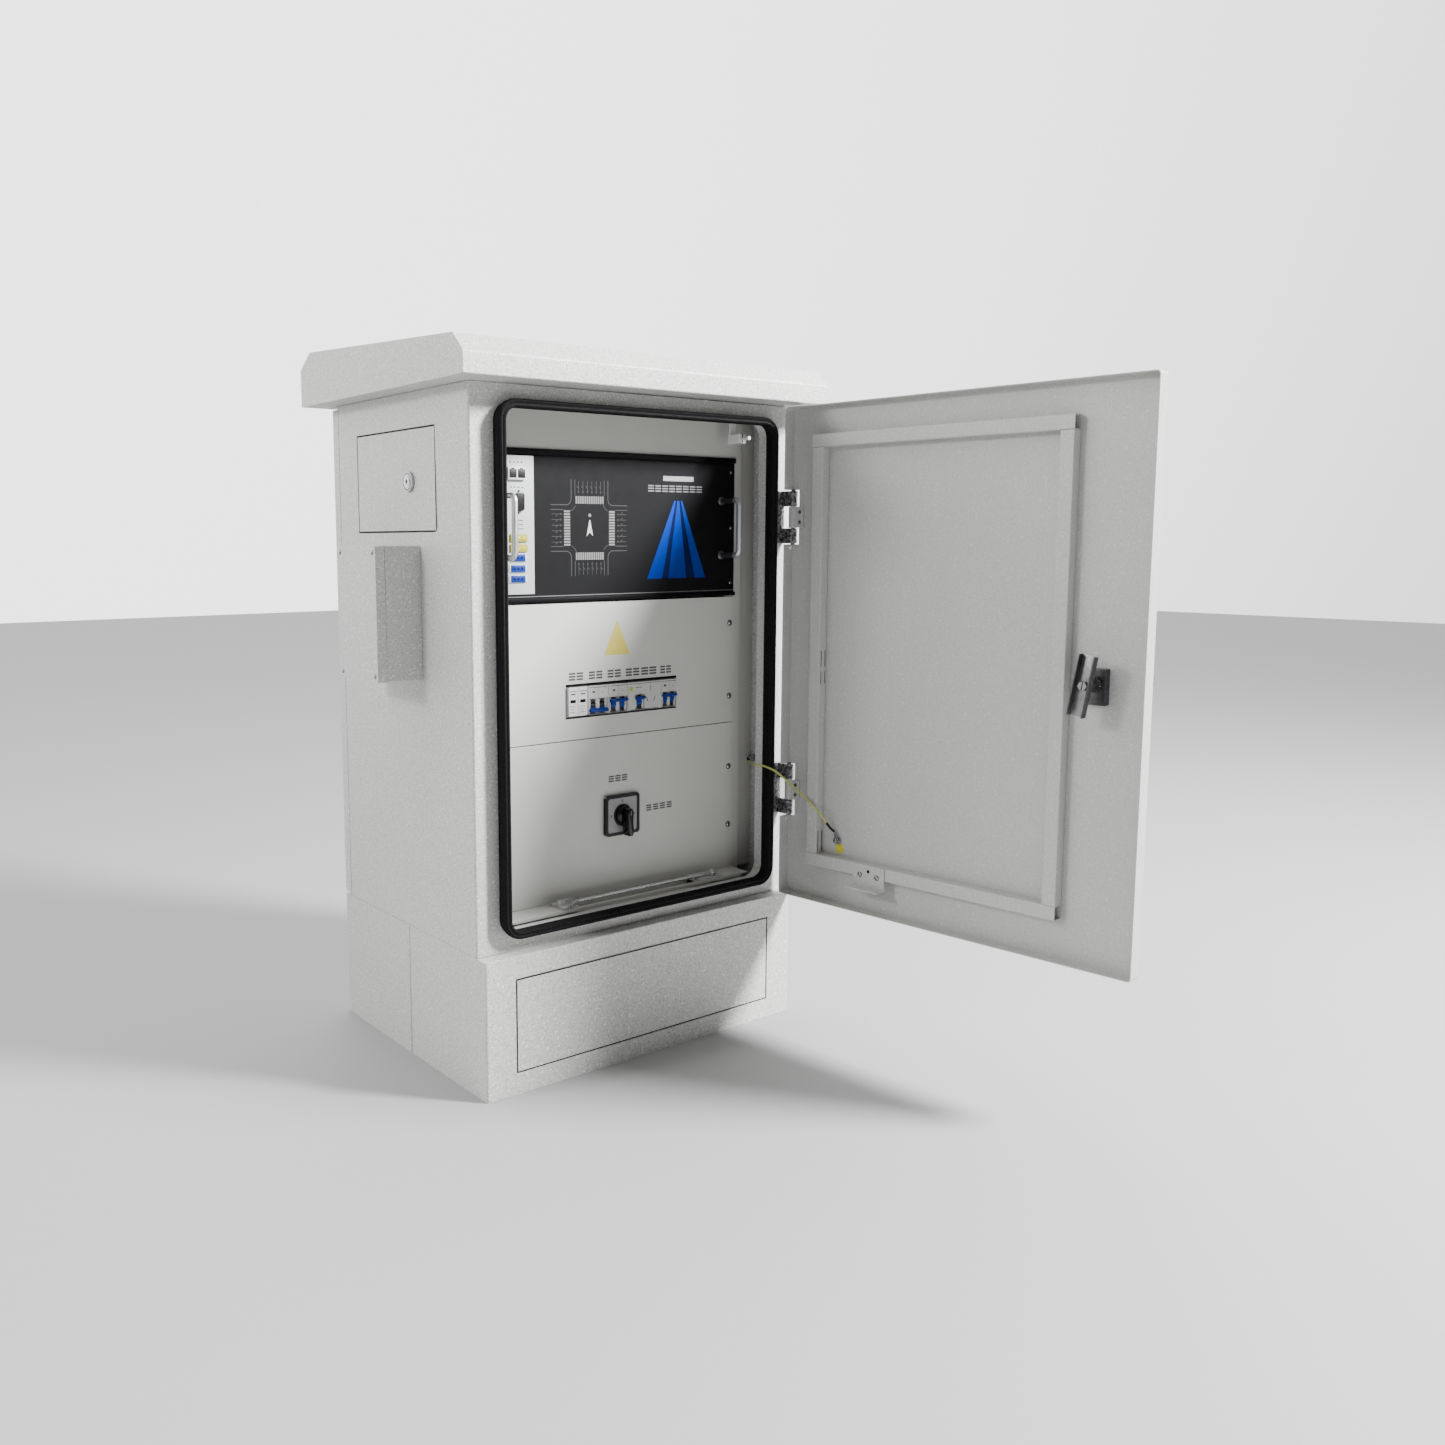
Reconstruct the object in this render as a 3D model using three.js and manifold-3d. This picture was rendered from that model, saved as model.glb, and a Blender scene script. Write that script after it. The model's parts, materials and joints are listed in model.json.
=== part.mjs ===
// Roadside traffic signal control cabinet: sheet steel body on a two-part plinth, sloped roof
// cap, front door standing open, rack controller, breaker row and changeover switch inside.
// Millimetres, +X right as seen from the front, +Y to the back, +Z up. The origin is the middle
// of the underside of the plinth's front foot flange.
import * as THREE from "three";
import { mergeVertices } from "three/addons/utils/BufferGeometryUtils.js";
import Module from "manifold-3d";

const wasm = await Module();
wasm.setup();

// ---- driving dimensions ----
const GAP = 0.3; // clearance between pieces that touch
const HALF_WIDTH = 295;
const PLINTH = { front: -15, back: 431, top: 204.5, sheet: 2.5, flange: 30, seam: 208 };
const BODY = { front: 8, back: 410, bottom: 205, top: 998, sheet: 2, fold: 22 };
const OPENING = { halfWidth: 253, bottom: 233.5, top: 969.5, radius: 22, collar: 2 };
const ROOF = { halfWidth: 334, sheet: 2, soffit: { halfWidth: 268, front: 35, back: 383 } };
const ROOF_SECTION = [
  [-46, 998.4], [458.5, 998.4], [458.5, 1056], [421.5, 1079.6], [-21, 1053], [-46, 1028],
];
const ACCESS = { halfWidth: 245.5, bottom: 31.8, top: 171.2, gap: 2, ledge: 12 };

const DOOR = { edge: 294.5, face: -16.5, depth: 23, bottom: 208, top: 994, sheet: 1.5 };
const DOOR_ANGLE = 96.1; // degrees open
const PIVOT = { x: 292, y: -14 };
const HINGE = { centres: { upper: 822.5, lower: 380 }, half: 41.5, middle: 17, radius: 7, pin: 3 };
const SPINDLE = { along: 519, z: 596.5, radius: 6 };
const CLAW_TILT = 10; // degrees
const LEVER = { reach: 46, radius: 10, tilt: 85 };

const REAR_PIVOT = { x: 292, y: 428.5 };
const REAR_LOCK = { x: -215, z: 600 };
const SIDE = { front: 100, back: 344.5, bottom: 799, top: 947.5, frameDepth: 18 };
const SIDE_PIVOT = { x: -292, y: 338.5 };
const SIDE_LOCK = { y: 175.6, z: 871.7 };
const SIDE_BOX = { front: 147.6, back: 270.4, bottom: 586.5, top: 780, outer: -352, lid: -367 };

const PANEL = { halfWidth: 241.3, front: 69.5, back: 71.5 };
const RAIL = {
  inner: 222, outer: 258, front: 71.8, back: 140,
  shelf: { front: 29, low: 237.7, high: 239.7 },
  slot: { left: -98, right: 134, front: 33, back: 60 },
};
const CONTROLLER = { bottom: 696.6, top: 918, handleX: 212, handleLow: 762.6, handleHigh: 849.4 };
const BREAKERS = { nose: 66, body: 76, back: 126, low: 503, high: 588, noseLow: 523.5, noseHigh: 567.5 };
const TOGGLE = { y: 73, z: 536, reach: 13.5, radius: 5, swing: 35 };
const SWITCH = { x: 6, z: 361 };
const STAY = { x: 172, y: 41, z: 246, end: -101, radius: 3 };
const CONTACT = { x: 211.5, z: 945 };
const EARTH_DOOR = { along: 103, z: 311 };
const EARTH_BODY = { y: 70, z: 420 };
const LEAD_RADIUS = 1.6;

// ---- materials ----
const paint = (color, roughness, metalness) =>
  new THREE.MeshStandardMaterial({ color, roughness, metalness });
const CABINET_GREY = paint(0xc9c9c7, 0.62, 0.1);
const DOOR_GREY = paint(0xbdbdbc, 0.55, 0.1);
const PANEL_WHITE = paint(0xd9dad8, 0.5, 0.1);
const PANEL_BLACK = paint(0x15161a, 0.4, 0.2);
const HINGE_BLACK = paint(0x2b2b2d, 0.5, 0.6);
const RUBBER = paint(0x141415, 0.8, 0);
const ZINC = paint(0xb9bcc0, 0.35, 0.9);
const CHROME = paint(0xd5d7da, 0.12, 1);
const PLASTIC_WHITE = paint(0xe6e6e2, 0.45, 0);
const PLASTIC_BLUE = paint(0x1550c8, 0.4, 0);
const PLASTIC_BLACK = paint(0x101012, 0.3, 0);
const PLASTIC_GREY = paint(0x8d9196, 0.5, 0);
const EARTH_GREEN = paint(0xb9c934, 0.5, 0);

// ---- shape helpers ----
const box = (x0, x1, y0, y1, z0, z1) =>
  new THREE.BoxGeometry(x1 - x0, y1 - y0, z1 - z0)
    .translate((x0 + x1) / 2, (y0 + y1) / 2, (z0 + z1) / 2);

const cylinderZ = (x, y, radius, z0, z1, sides = 24) =>
  new THREE.CylinderGeometry(radius, radius, z1 - z0, sides)
    .rotateX(Math.PI / 2).translate(x, y, (z0 + z1) / 2);

const cylinderY = (x, z, radius, y0, y1, sides = 24) =>
  new THREE.CylinderGeometry(radius, radius, y1 - y0, sides).translate(x, (y0 + y1) / 2, z);

const cylinderX = (y, z, radius, x0, x1, sides = 24) =>
  new THREE.CylinderGeometry(radius, radius, x1 - x0, sides)
    .rotateZ(Math.PI / 2).translate((x0 + x1) / 2, y, z);

// A shape drawn in X and Z, extruded from y0 to y1.
function plateY(shape, y0, y1) {
  const geometry = new THREE.ExtrudeGeometry(shape, { depth: y1 - y0, bevelEnabled: false, curveSegments: 5 });
  return geometry.rotateX(Math.PI / 2).translate(0, y1, 0);
}

// A shape drawn in Y and Z, extruded from x0 to x1.
function plateX(points, x0, x1) {
  const shape = new THREE.Shape(points.map(([y, z]) => new THREE.Vector2(y, z)));
  const geometry = new THREE.ExtrudeGeometry(shape, { depth: x1 - x0, bevelEnabled: false });
  const turn = new THREE.Matrix4().makeBasis(
    new THREE.Vector3(0, 1, 0), new THREE.Vector3(0, 0, 1), new THREE.Vector3(1, 0, 0));
  return geometry.applyMatrix4(turn).translate(x0, 0, 0);
}

function roundedRectangle(halfWidth, bottom, top, radius) {
  const shape = new THREE.Shape();
  const x = halfWidth - radius;
  shape.moveTo(-x, bottom);
  shape.lineTo(x, bottom);
  shape.absarc(x, bottom + radius, radius, -Math.PI / 2, 0);
  shape.lineTo(halfWidth, top - radius);
  shape.absarc(x, top - radius, radius, 0, Math.PI / 2);
  shape.lineTo(-x, top);
  shape.absarc(-x, top - radius, radius, Math.PI / 2, Math.PI);
  shape.lineTo(-halfWidth, bottom + radius);
  shape.absarc(-x, bottom + radius, radius, Math.PI, Math.PI * 1.5);
  return shape;
}

// The doorway outline, grown outwards by a distance, between two depths.
const doorway = (grow, y0, y1) =>
  plateY(roundedRectangle(OPENING.halfWidth + grow, OPENING.bottom - grow, OPENING.top + grow,
    OPENING.radius + grow), y0, y1);

// Rod of a given radius along straight lines or a curve.
function rod(curve, radius, sides, steps) {
  const circle = new THREE.Shape();
  for (let i = 0; i < sides; i += 1) {
    const angle = (2 * Math.PI * i) / sides;
    const point = [radius * Math.cos(angle), radius * Math.sin(angle)];
    if (i === 0) circle.moveTo(...point);
    else circle.lineTo(...point);
  }
  circle.closePath();
  return new THREE.ExtrudeGeometry(circle, { steps, extrudePath: curve, bevelEnabled: false });
}

// ---- boolean helpers ----
function toSolid(geometry) {
  const bare = geometry.clone();
  bare.deleteAttribute("normal");
  bare.deleteAttribute("uv");
  const merged = mergeVertices(bare, 1e-4);
  const mesh = new wasm.Mesh({
    numProp: 3,
    vertProperties: new Float32Array(merged.attributes.position.array),
    triVerts: new Uint32Array(merged.index.array),
  });
  return new wasm.Manifold(mesh);
}

function fromSolid(manifold) {
  const mesh = manifold.getMesh();
  const geometry = new THREE.BufferGeometry();
  geometry.setAttribute("position", new THREE.BufferAttribute(new Float32Array(mesh.vertProperties), 3));
  geometry.setIndex(new THREE.BufferAttribute(new Uint32Array(mesh.triVerts), 1));
  const flat = geometry.toNonIndexed();
  flat.computeVertexNormals();
  return flat;
}

// The first list is joined, and the second is cut from it.
function carve(joined, removed = []) {
  let solid = joined.map(toSolid).reduce((a, b) => a.add(b));
  removed.map(toSolid).forEach((tool) => { solid = solid.subtract(tool); });
  return fromSolid(solid);
}

function mesh(name, geometry, material) {
  const part = new THREE.Mesh(geometry, material);
  part.name = name;
  return part;
}

// ---- plinth ----
function plinthHalf(y0, y1, seamY, extraJoined, extraRemoved) {
  const { top, sheet, flange } = PLINTH;
  const outer = box(-HALF_WIDTH, HALF_WIDTH, y0, y1, 0, top);
  const hollow = box(-HALF_WIDTH + sheet, HALF_WIDTH - sheet, y0 + sheet, y1 - sheet, sheet, top - sheet);
  const coreFront = seamY === y1 ? y0 + flange : y0 - 1;
  const coreBack = seamY === y1 ? y1 + 1 : y1 - flange;
  const core = box(-HALF_WIDTH + flange, HALF_WIDTH - flange, coreFront, coreBack, -1, top + 1);
  return carve([carve([outer], [hollow, core]), ...extraJoined], extraRemoved);
}

function anchorHoles(y) {
  return [-200, 200].map((x) => cylinderZ(x, y, 7, -1, PLINTH.sheet + 1, 16));
}

function plinthFrontHalf() {
  const { front, sheet, flange, seam } = PLINTH;
  const wall = front + sheet;
  const { halfWidth, bottom, top, ledge } = ACCESS;
  const ledgePlate = box(-halfWidth - ledge, halfWidth + ledge, wall - 0.2, wall + 2,
    bottom - ledge, top + ledge);
  const window = box(-halfWidth, halfWidth, front - 1, wall, bottom, top);
  const ledgeHole = box(-halfWidth + ledge, halfWidth - ledge, wall - 1, wall + 3, bottom + ledge, top - ledge);
  return plinthHalf(front, seam - GAP, seam - GAP, [ledgePlate],
    [window, ledgeHole, ...anchorHoles(front + flange / 2)]);
}

function plinthRearHalf() {
  const { back, flange, seam } = PLINTH;
  return plinthHalf(seam + GAP, back, seam + GAP, [], anchorHoles(back - flange / 2));
}

function plinthAccessPanel() {
  const { halfWidth, bottom, top, gap, ledge } = ACCESS;
  const { front } = PLINTH;
  const x = halfWidth - gap;
  const rim = halfWidth - ledge - gap;
  const low = bottom + ledge + gap;
  const high = top - ledge - gap;
  const plate = box(-x, x, front, front + 2, bottom + gap, top - gap);
  const tray = box(-rim, rim, front + 1, front + 12, low, high);
  const hollow = box(-rim + 1.5, rim - 1.5, front + 2, front + 13, low + 1.5, high - 1.5);
  return carve([plate, tray], [hollow]);
}

// ---- body ----
const BODY_INSIDE = HALF_WIDTH - BODY.sheet;
const frontSeam = BODY.front + BODY.fold;
const rearSeam = BODY.back - BODY.fold;

const collar = (y0, y1) => carve([doorway(OPENING.collar, y0, y1)], [doorway(0, y0 - 1, y1 + 1)]);

// Sides, floor and top, between the two end frames.
function bodyWrap() {
  const { bottom, top, sheet } = BODY;
  const [y0, y1] = [frontSeam + GAP, rearSeam - GAP];
  const inside = BODY_INSIDE;
  const tube = carve([box(-HALF_WIDTH, HALF_WIDTH, y0, y1, bottom, top)],
    [box(-inside, inside, y0 - 1, y1 + 1, bottom + sheet, top - sheet)]);
  const cuts = [
    box(-140, 140, 120, 330, bottom - 1, bottom + sheet + 1),
    box(-HALF_WIDTH - 1, -inside + 1, SIDE.front, SIDE.back, SIDE.bottom, SIDE.top),
  ];
  return carve([carve([tube], cuts), sideFrame(inside)]);
}

// Folded frame round the front or rear opening, with the collar that carries the seal.
function endFrame(y0, y1, wallY0, wallY1, collarY0, collarY1) {
  const { bottom, top, sheet } = BODY;
  const inside = BODY_INSIDE;
  const outer = box(-HALF_WIDTH, HALF_WIDTH, y0, y1, bottom, top);
  const hollows = [[y0 - 1, wallY0], [wallY1, y1 + 1]].filter(([a, b]) => b - a > 1.5)
    .map(([a, b]) => box(-inside, inside, a, b, bottom + sheet, top - sheet));
  return carve([carve([outer], [...hollows, doorway(0, y0 - 2, y1 + 2)]), collar(collarY0, collarY1)]);
}

function frontFrame() {
  const { front, sheet } = BODY;
  return endFrame(front, frontSeam, front, front + sheet, front - 10, front + 18);
}

function rearFrame() {
  const { back, sheet } = BODY;
  return endFrame(rearSeam, back, back - sheet, back, back - 15, back + 8);
}

// Return frame and inner lip of the side access opening, with the door's two hinge stubs.
function sideFrame(inside) {
  const { front, back, bottom, top, frameDepth } = SIDE;
  const inner = -HALF_WIDTH + frameDepth;
  const frame = carve([box(-inside - 0.5, inner, front - 2, back + 2, bottom - 2, top + 2)],
    [box(-inside - 1, inner - 2, front, back, bottom, top),
      box(-inside - 1, inner + 1, front + 25, back - 10, bottom + 10, top - 10)]);
  const stub = (z0, z1) => cylinderZ(SIDE_PIVOT.x, SIDE_PIVOT.y, 1.3, z0, z1, 12);
  return carve([frame, stub(bottom - 1, bottom + 12), stub(top - 12, top + 1)]);
}

function roofCap() {
  const { halfWidth, sheet, soffit } = ROOF;
  const outer = plateX(ROOF_SECTION, -halfWidth, halfWidth);
  const inner = plateX(insetPolygon(ROOF_SECTION, sheet), -halfWidth + sheet, halfWidth - sheet);
  const hole = box(-soffit.halfWidth, soffit.halfWidth, soffit.front, soffit.back, 990, 1003);
  return carve([outer], [inner, hole]);
}

// Moves every side of an anticlockwise polygon inwards.
function insetPolygon(points, distance) {
  const count = points.length;
  const lines = points.map(([x0, y0], i) => {
    const [x1, y1] = points[(i + 1) % count];
    const length = Math.hypot(x1 - x0, y1 - y0);
    const normal = [-(y1 - y0) / length, (x1 - x0) / length];
    return { normal, offset: normal[0] * x0 + normal[1] * y0 + distance };
  });
  return lines.map((line, i) => {
    const before = lines[(i + count - 1) % count];
    const [a, b] = before.normal;
    const [c, d] = line.normal;
    const determinant = a * d - b * c;
    return [(before.offset * d - b * line.offset) / determinant,
      (a * line.offset - before.offset * c) / determinant];
  });
}

// Edge seal pushed on to a collar: two clip legs and a bulb. face is the panel's outer face,
// out is -1 for the front and 1 for the rear, lip the collar's height, tip the bulb's.
function seal(face, out, lip, tip) {
  const ring = (inner, outer, from, to) => {
    const y0 = Math.min(face + out * from, face + out * to);
    const y1 = Math.max(face + out * from, face + out * to);
    return carve([doorway(outer, y0, y1)], [doorway(inner, y0 - 1, y1 + 1)]);
  };
  const legs = ring(-3, 5, 2, lip + 1);
  const foot = ring(-4.5, 6.5, lip + 0.9, lip + 3);
  const bulb = ring(-5.5, 7.5, lip + 2.9, tip - 2);
  const crown = ring(-3, 5, tip - 2.1, tip);
  const slot = ring(-GAP, OPENING.collar + GAP, 1, lip + GAP);
  return carve([legs, foot, bulb, crown], [slot]);
}

// ---- hinges ----
// Body leaf: plate on the panel, two webs, two end knuckles and the pin between them.
function bodyLeaf(z, pivot, plateY0, plateY1) {
  const { half, middle, radius, pin } = HINGE;
  const webs = [[middle + 0.5, half], [-half, -middle - 0.5]].flatMap(([z0, z1]) => [
    box(285, 291.8, Math.min(pivot.y, plateY0), Math.max(pivot.y, plateY1), z + z0, z + z1),
    cylinderZ(pivot.x, pivot.y, radius, z + z0, z + z1),
  ]);
  const plate = box(263, 291, plateY0, plateY1, z - half, z + half);
  return carve([plate, ...webs, cylinderZ(pivot.x, pivot.y, pin, z - half - 0.9, z + half + 0.9, 16)]);
}

// Door leaf: short plate on the door's inner face with the middle knuckle.
function doorLeaf(z, pivot, y0, y1) {
  const { middle, radius, pin } = HINGE;
  return carve([box(270, 288, y0, y1, z - middle + 0.5, z + middle - 0.5),
    cylinderZ(pivot.x, pivot.y, radius, z - middle, z + middle)],
  [cylinderZ(pivot.x, pivot.y, pin + GAP, z - middle - 1, z + middle + 1, 16)]);
}

// ---- front door, drawn closed ----
const doorX = (along) => DOOR.edge - along; // distance along the door from its hinge edge
const doorY = (inward) => DOOR.face + inward; // distance inwards from the door's outer face

function hingeNotches(y0, y1) {
  return Object.values(HINGE.centres).map((z) => box(281, 300, y0, y1, z - 43, z + 43));
}

function frontDoorPan() {
  const { edge, face, depth, bottom, top, sheet } = DOOR;
  const outer = box(-edge, edge, face, face + depth, bottom, top);
  const inner = box(-edge + sheet, edge - sheet, face + sheet, face + depth + 1, bottom + sheet, top - sheet);
  return carve([outer], [inner, ...hingeNotches(face - 2, face + depth + 2),
    cylinderY(doorX(SPINDLE.along), SPINDLE.z, 9, face - 1, face + 3, 20)]);
}

const STIFFENER = { near: 52.5, far: 479, low: 266, high: 949, width: 20, front: 1.8, back: 19.8, sheet: 1.2 };

function stiffenerAlong(z0) {
  const { near, far, front, back, sheet } = STIFFENER;
  const x0 = doorX(far);
  const x1 = doorX(near);
  return carve([box(x0, x1, doorY(front), doorY(back), z0, z0 + 20)],
    [box(x0 - 1, x1 + 1, doorY(front + sheet), doorY(back - sheet), z0 + sheet, z0 + 20 - sheet)]);
}

function stiffenerUp(along) {
  const { low, high, width, front, back, sheet } = STIFFENER;
  const x0 = doorX(along + width);
  const x1 = doorX(along);
  const z0 = low + width + GAP;
  const z1 = high - width - GAP;
  return carve([box(x0, x1, doorY(front), doorY(back), z0, z1)],
    [box(x0 + sheet, x1 - sheet, doorY(front + sheet), doorY(back - sheet), z0 - 1, z1 + 1)]);
}

function latchHousing() {
  return carve([box(doorX(533), doorX(504), doorY(1.8), doorY(14), 568, 616.5)],
    [cylinderY(doorX(SPINDLE.along), SPINDLE.z, SPINDLE.radius + GAP, doorY(1), doorY(15))]);
}

function handleEscutcheon() {
  const x = doorX(SPINDLE.along);
  return carve([box(x - 17, x + 17, doorY(-4), doorY(-GAP), 540, 640)],
    [cylinderY(x, SPINDLE.z, SPINDLE.radius + GAP, doorY(-5), doorY(1))]);
}

// Spindle, round nut, channel claw and its bolt head.
function latchClaw() {
  const claw = { half: 41, width: 22, web: 2, flange: 1.8, front: 44.5, back: 56 };
  const half = claw.width / 2;
  const floor = claw.front + claw.web;
  const channel = carve([box(-half, half, doorY(claw.front), doorY(claw.back), -claw.half, claw.half)],
    [box(-half + claw.flange, half - claw.flange, doorY(floor), doorY(claw.back + 1),
      -claw.half - 1, claw.half + 1)]);
  channel.rotateY(-THREE.MathUtils.degToRad(CLAW_TILT));
  channel.translate(doorX(SPINDLE.along), 0, SPINDLE.z);
  const round = (radius, from, to) =>
    cylinderY(doorX(SPINDLE.along), SPINDLE.z, radius, doorY(from), doorY(to));
  return carve([round(SPINDLE.radius, -4, claw.front + 0.5), round(11, 14.4, 24), channel,
    round(7, claw.front + 1, 51)]);
}

function doorHandle() {
  const { reach, radius, tilt } = LEVER;
  const x = doorX(SPINDLE.along);
  const hub = cylinderY(x, SPINDLE.z, 14, doorY(-38), doorY(-4.3));
  const bar = box(-radius, radius, doorY(-38), doorY(-24), 0, reach);
  const grip = cylinderY(0, reach, radius, doorY(-38), doorY(-24));
  const lever = carve([bar, grip]);
  lever.rotateY(-THREE.MathUtils.degToRad(tilt));
  lever.translate(x, 0, SPINDLE.z);
  return carve([hub, lever]);
}

function doorStayBracket() {
  const x0 = doorX(204);
  const x1 = doorX(147);
  return carve([box(x0, x1, doorY(20.3), doorY(22.3), 250, 286),
    box(x0, x1, doorY(20.3), doorY(40), 250, 252)]);
}

// Threaded stud with two nuts and the lead's ring lug clamped between them.
function doorEarthStud() {
  const x = doorX(EARTH_DOOR.along);
  const piece = (radius, from, to, sides) =>
    cylinderY(x, EARTH_DOOR.z, radius, doorY(from), doorY(to), sides);
  const tongue = box(-2.6, 2.6, doorY(4.3), doorY(6), 4, 13).rotateY(THREE.MathUtils.degToRad(20));
  tongue.translate(x, 0, EARTH_DOOR.z);
  return carve([piece(3, 1.8, 12, 16), piece(5.8, 1.8, 4.4, 6), piece(6, 4.3, 6, 24), tongue,
    piece(5.4, 5.9, 10, 6)]);
}

// ---- rear door, drawn closed ----
function rearDoorPan() {
  const [x, y0, y1] = [294, 411.5, 431];
  const outer = box(-x, x, y0, y1, DOOR.bottom, DOOR.top);
  const inner = box(-x + 1.5, x - 1.5, y0 - 1, y1 - 1.5, DOOR.bottom + 1.5, DOOR.top - 1.5);
  const pan = carve([outer], [inner, ...hingeNotches(y0 - 2, y1 + 2),
    cylinderY(REAR_LOCK.x, REAR_LOCK.z, 12 + GAP, y1 - 3, y1 + 1)]);
  const leaves = Object.values(HINGE.centres).map((z) => doorLeaf(z, REAR_PIVOT, 426.5, 430));
  return carve([pan, ...leaves]);
}

function rearDoorLock() {
  const { x, z } = REAR_LOCK;
  return carve([cylinderY(x, z, 15, 431 + GAP, 436), cylinderY(x, z, 12, 424, 432),
    cylinderY(x, z, 5, 388, 425), box(x - 9, x + 9, 388, 391, z - 50, z + 9)]);
}

// ---- side access door and lock ----
function sideAccessDoor() {
  const [y0, y1] = [SIDE.front + 1, SIDE.back - 2];
  const [z0, z1] = [SIDE.bottom + 2, SIDE.top - 2];
  const outer = box(-HALF_WIDTH, -HALF_WIDTH + 12, y0, y1, z0, z1);
  const inner = box(-HALF_WIDTH + 2, -HALF_WIDTH + 13, y0 + 1.5, y1 - 1.5, z0 + 1.5, z1 - 1.5);
  const knuckle = (low, high) => cylinderZ(SIDE_PIVOT.x, SIDE_PIVOT.y, 2.6, low, high, 16);
  const joined = [carve([outer], [inner]), knuckle(z0, z0 + 14), knuckle(z1 - 14, z1)];
  return carve(joined, [cylinderZ(SIDE_PIVOT.x, SIDE_PIVOT.y, 1.6, z0 - 1, z0 + 15, 12),
    cylinderZ(SIDE_PIVOT.x, SIDE_PIVOT.y, 1.6, z1 - 15, z1 + 1, 12),
    cylinderX(SIDE_LOCK.y, SIDE_LOCK.z, 8 + GAP, -HALF_WIDTH - 1, -HALF_WIDTH + 3)]);
}

function sideDoorLock() {
  const { y, z } = SIDE_LOCK;
  const face = -HALF_WIDTH;
  return carve([cylinderX(y, z, 14.5, face - 4.5, face - GAP), cylinderX(y, z, 8, face - 1, face + 19),
    box(face + 18.5, face + 21.5, y - 8, y + 8, z - 58, z + 8)]);
}

// ---- side box ----
function sideBoxBody() {
  const { front, back, bottom, top, outer } = SIDE_BOX;
  const inner = -HALF_WIDTH - GAP;
  return carve([box(outer, inner, front, back, bottom, top)],
    [box(outer - 1, inner - 2, front + 2, back - 2, bottom + 2, top - 2)]);
}

function sideBoxLid() {
  const { front, back, bottom, top, outer, lid } = SIDE_BOX;
  return carve([box(lid, outer - GAP, front, back, bottom, top)],
    [box(lid + 2, outer + 1, front + 2, back - 2, bottom + 2, top - 2)]);
}

// ---- equipment ----
// Two rails joined by the blank plate over the controller and the shelf below the panels.
function rackFrame() {
  const { inner, outer, front, back, shelf, slot } = RAIL;
  const [low, high] = [BODY.bottom + BODY.sheet + GAP, BODY.top - BODY.sheet - GAP];
  const rail = (side) => {
    const span = (a, b) => (side > 0 ? [a, b] : [-b, -a]);
    return [box(...span(inner, outer), front, front + 2, low, high),
      box(...span(inner, inner + 2), front, back, low, high)];
  };
  const { halfWidth } = PANEL;
  const blank = box(-halfWidth, halfWidth, PANEL.front, front + 0.5, CONTROLLER.top + GAP, high);
  const ledge = box(-halfWidth, halfWidth, shelf.front, front + 0.5, shelf.low, shelf.high);
  const opening = box(slot.left, slot.right, slot.front, slot.back, shelf.low - 1, shelf.high + 1);
  return carve([...rail(-1), ...rail(1), blank, ledge], [opening]);
}

function controllerChassis() {
  const [low, high] = [CONTROLLER.bottom + 3, CONTROLLER.top - 3];
  const front = PANEL.back + GAP;
  return carve([box(-220, 220, front, 330, low, high)],
    [box(-218.5, 218.5, front - 1, 328.5, low + 1.5, high - 1.5)]);
}

function controllerFrontPanel() {
  const { halfWidth, front, back } = PANEL;
  const { bottom, top } = CONTROLLER;
  return carve([box(-halfWidth, halfWidth, front, back, bottom, top),
    box(-halfWidth, halfWidth, front - 3, back, top - 8, top),
    box(-halfWidth, halfWidth, front - 3, back, bottom, bottom + 6)]);
}

function panelHandle(x) {
  const { handleLow, handleHigh } = CONTROLLER;
  const root = PANEL.front - GAP;
  const legs = [handleLow, handleHigh].map((z) => cylinderY(x, z, 4.5, root - 47, root, 16));
  return carve([...legs, cylinderZ(x, root - 43, 4.6, handleLow - 4.5, handleHigh + 4.5, 16)]);
}

function controllerIoModule() {
  const face = PANEL.front - GAP;
  const block = (x0, x1, z0, z1, height) => box(x0, x1, face - height, face - 1, z0, z1);
  return carve([box(-202, -152, face - 1.5, face, 709.5, 907.5), block(-198, -168, 873, 891, 6),
    block(-178, -168, 833, 850, 5), block(-198, -165.5, 786, 795, 4), block(-198, -165.5, 771.5, 780.5, 4),
    block(-196, -166, 757.5, 768, 4), block(-196, -166, 742, 752, 4), block(-196, -166, 727, 737.5, 4)]);
}

function breakerPanel() {
  const { halfWidth, front, back } = PANEL;
  return carve([box(-halfWidth, halfWidth, front, back, 487, 694.5)],
    [box(-96, 118, front - 1, back + 1, 521.3, 569.3)]);
}

function switchPanel() {
  const { halfWidth, front, back } = PANEL;
  return carve([box(-halfWidth, halfWidth, front, back, 240, 486)],
    [cylinderY(SWITCH.x, SWITCH.z, 12, front - 1, back + 1)]);
}

// Top-hat rail, 35 by 7.5.
function dinRail() {
  const end = RAIL.inner - GAP;
  const [y, z] = [BREAKERS.back + GAP, 545.5];
  return carve([box(-end, end, y, y + 1, z - 17.5, z + 17.5), box(-end, end, y, y + 7.5, z - 13.5, z + 13.5)],
    [box(-end - 1, end + 1, y - 1, y + 6.5, z - 12.5, z + 12.5)]);
}

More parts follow.
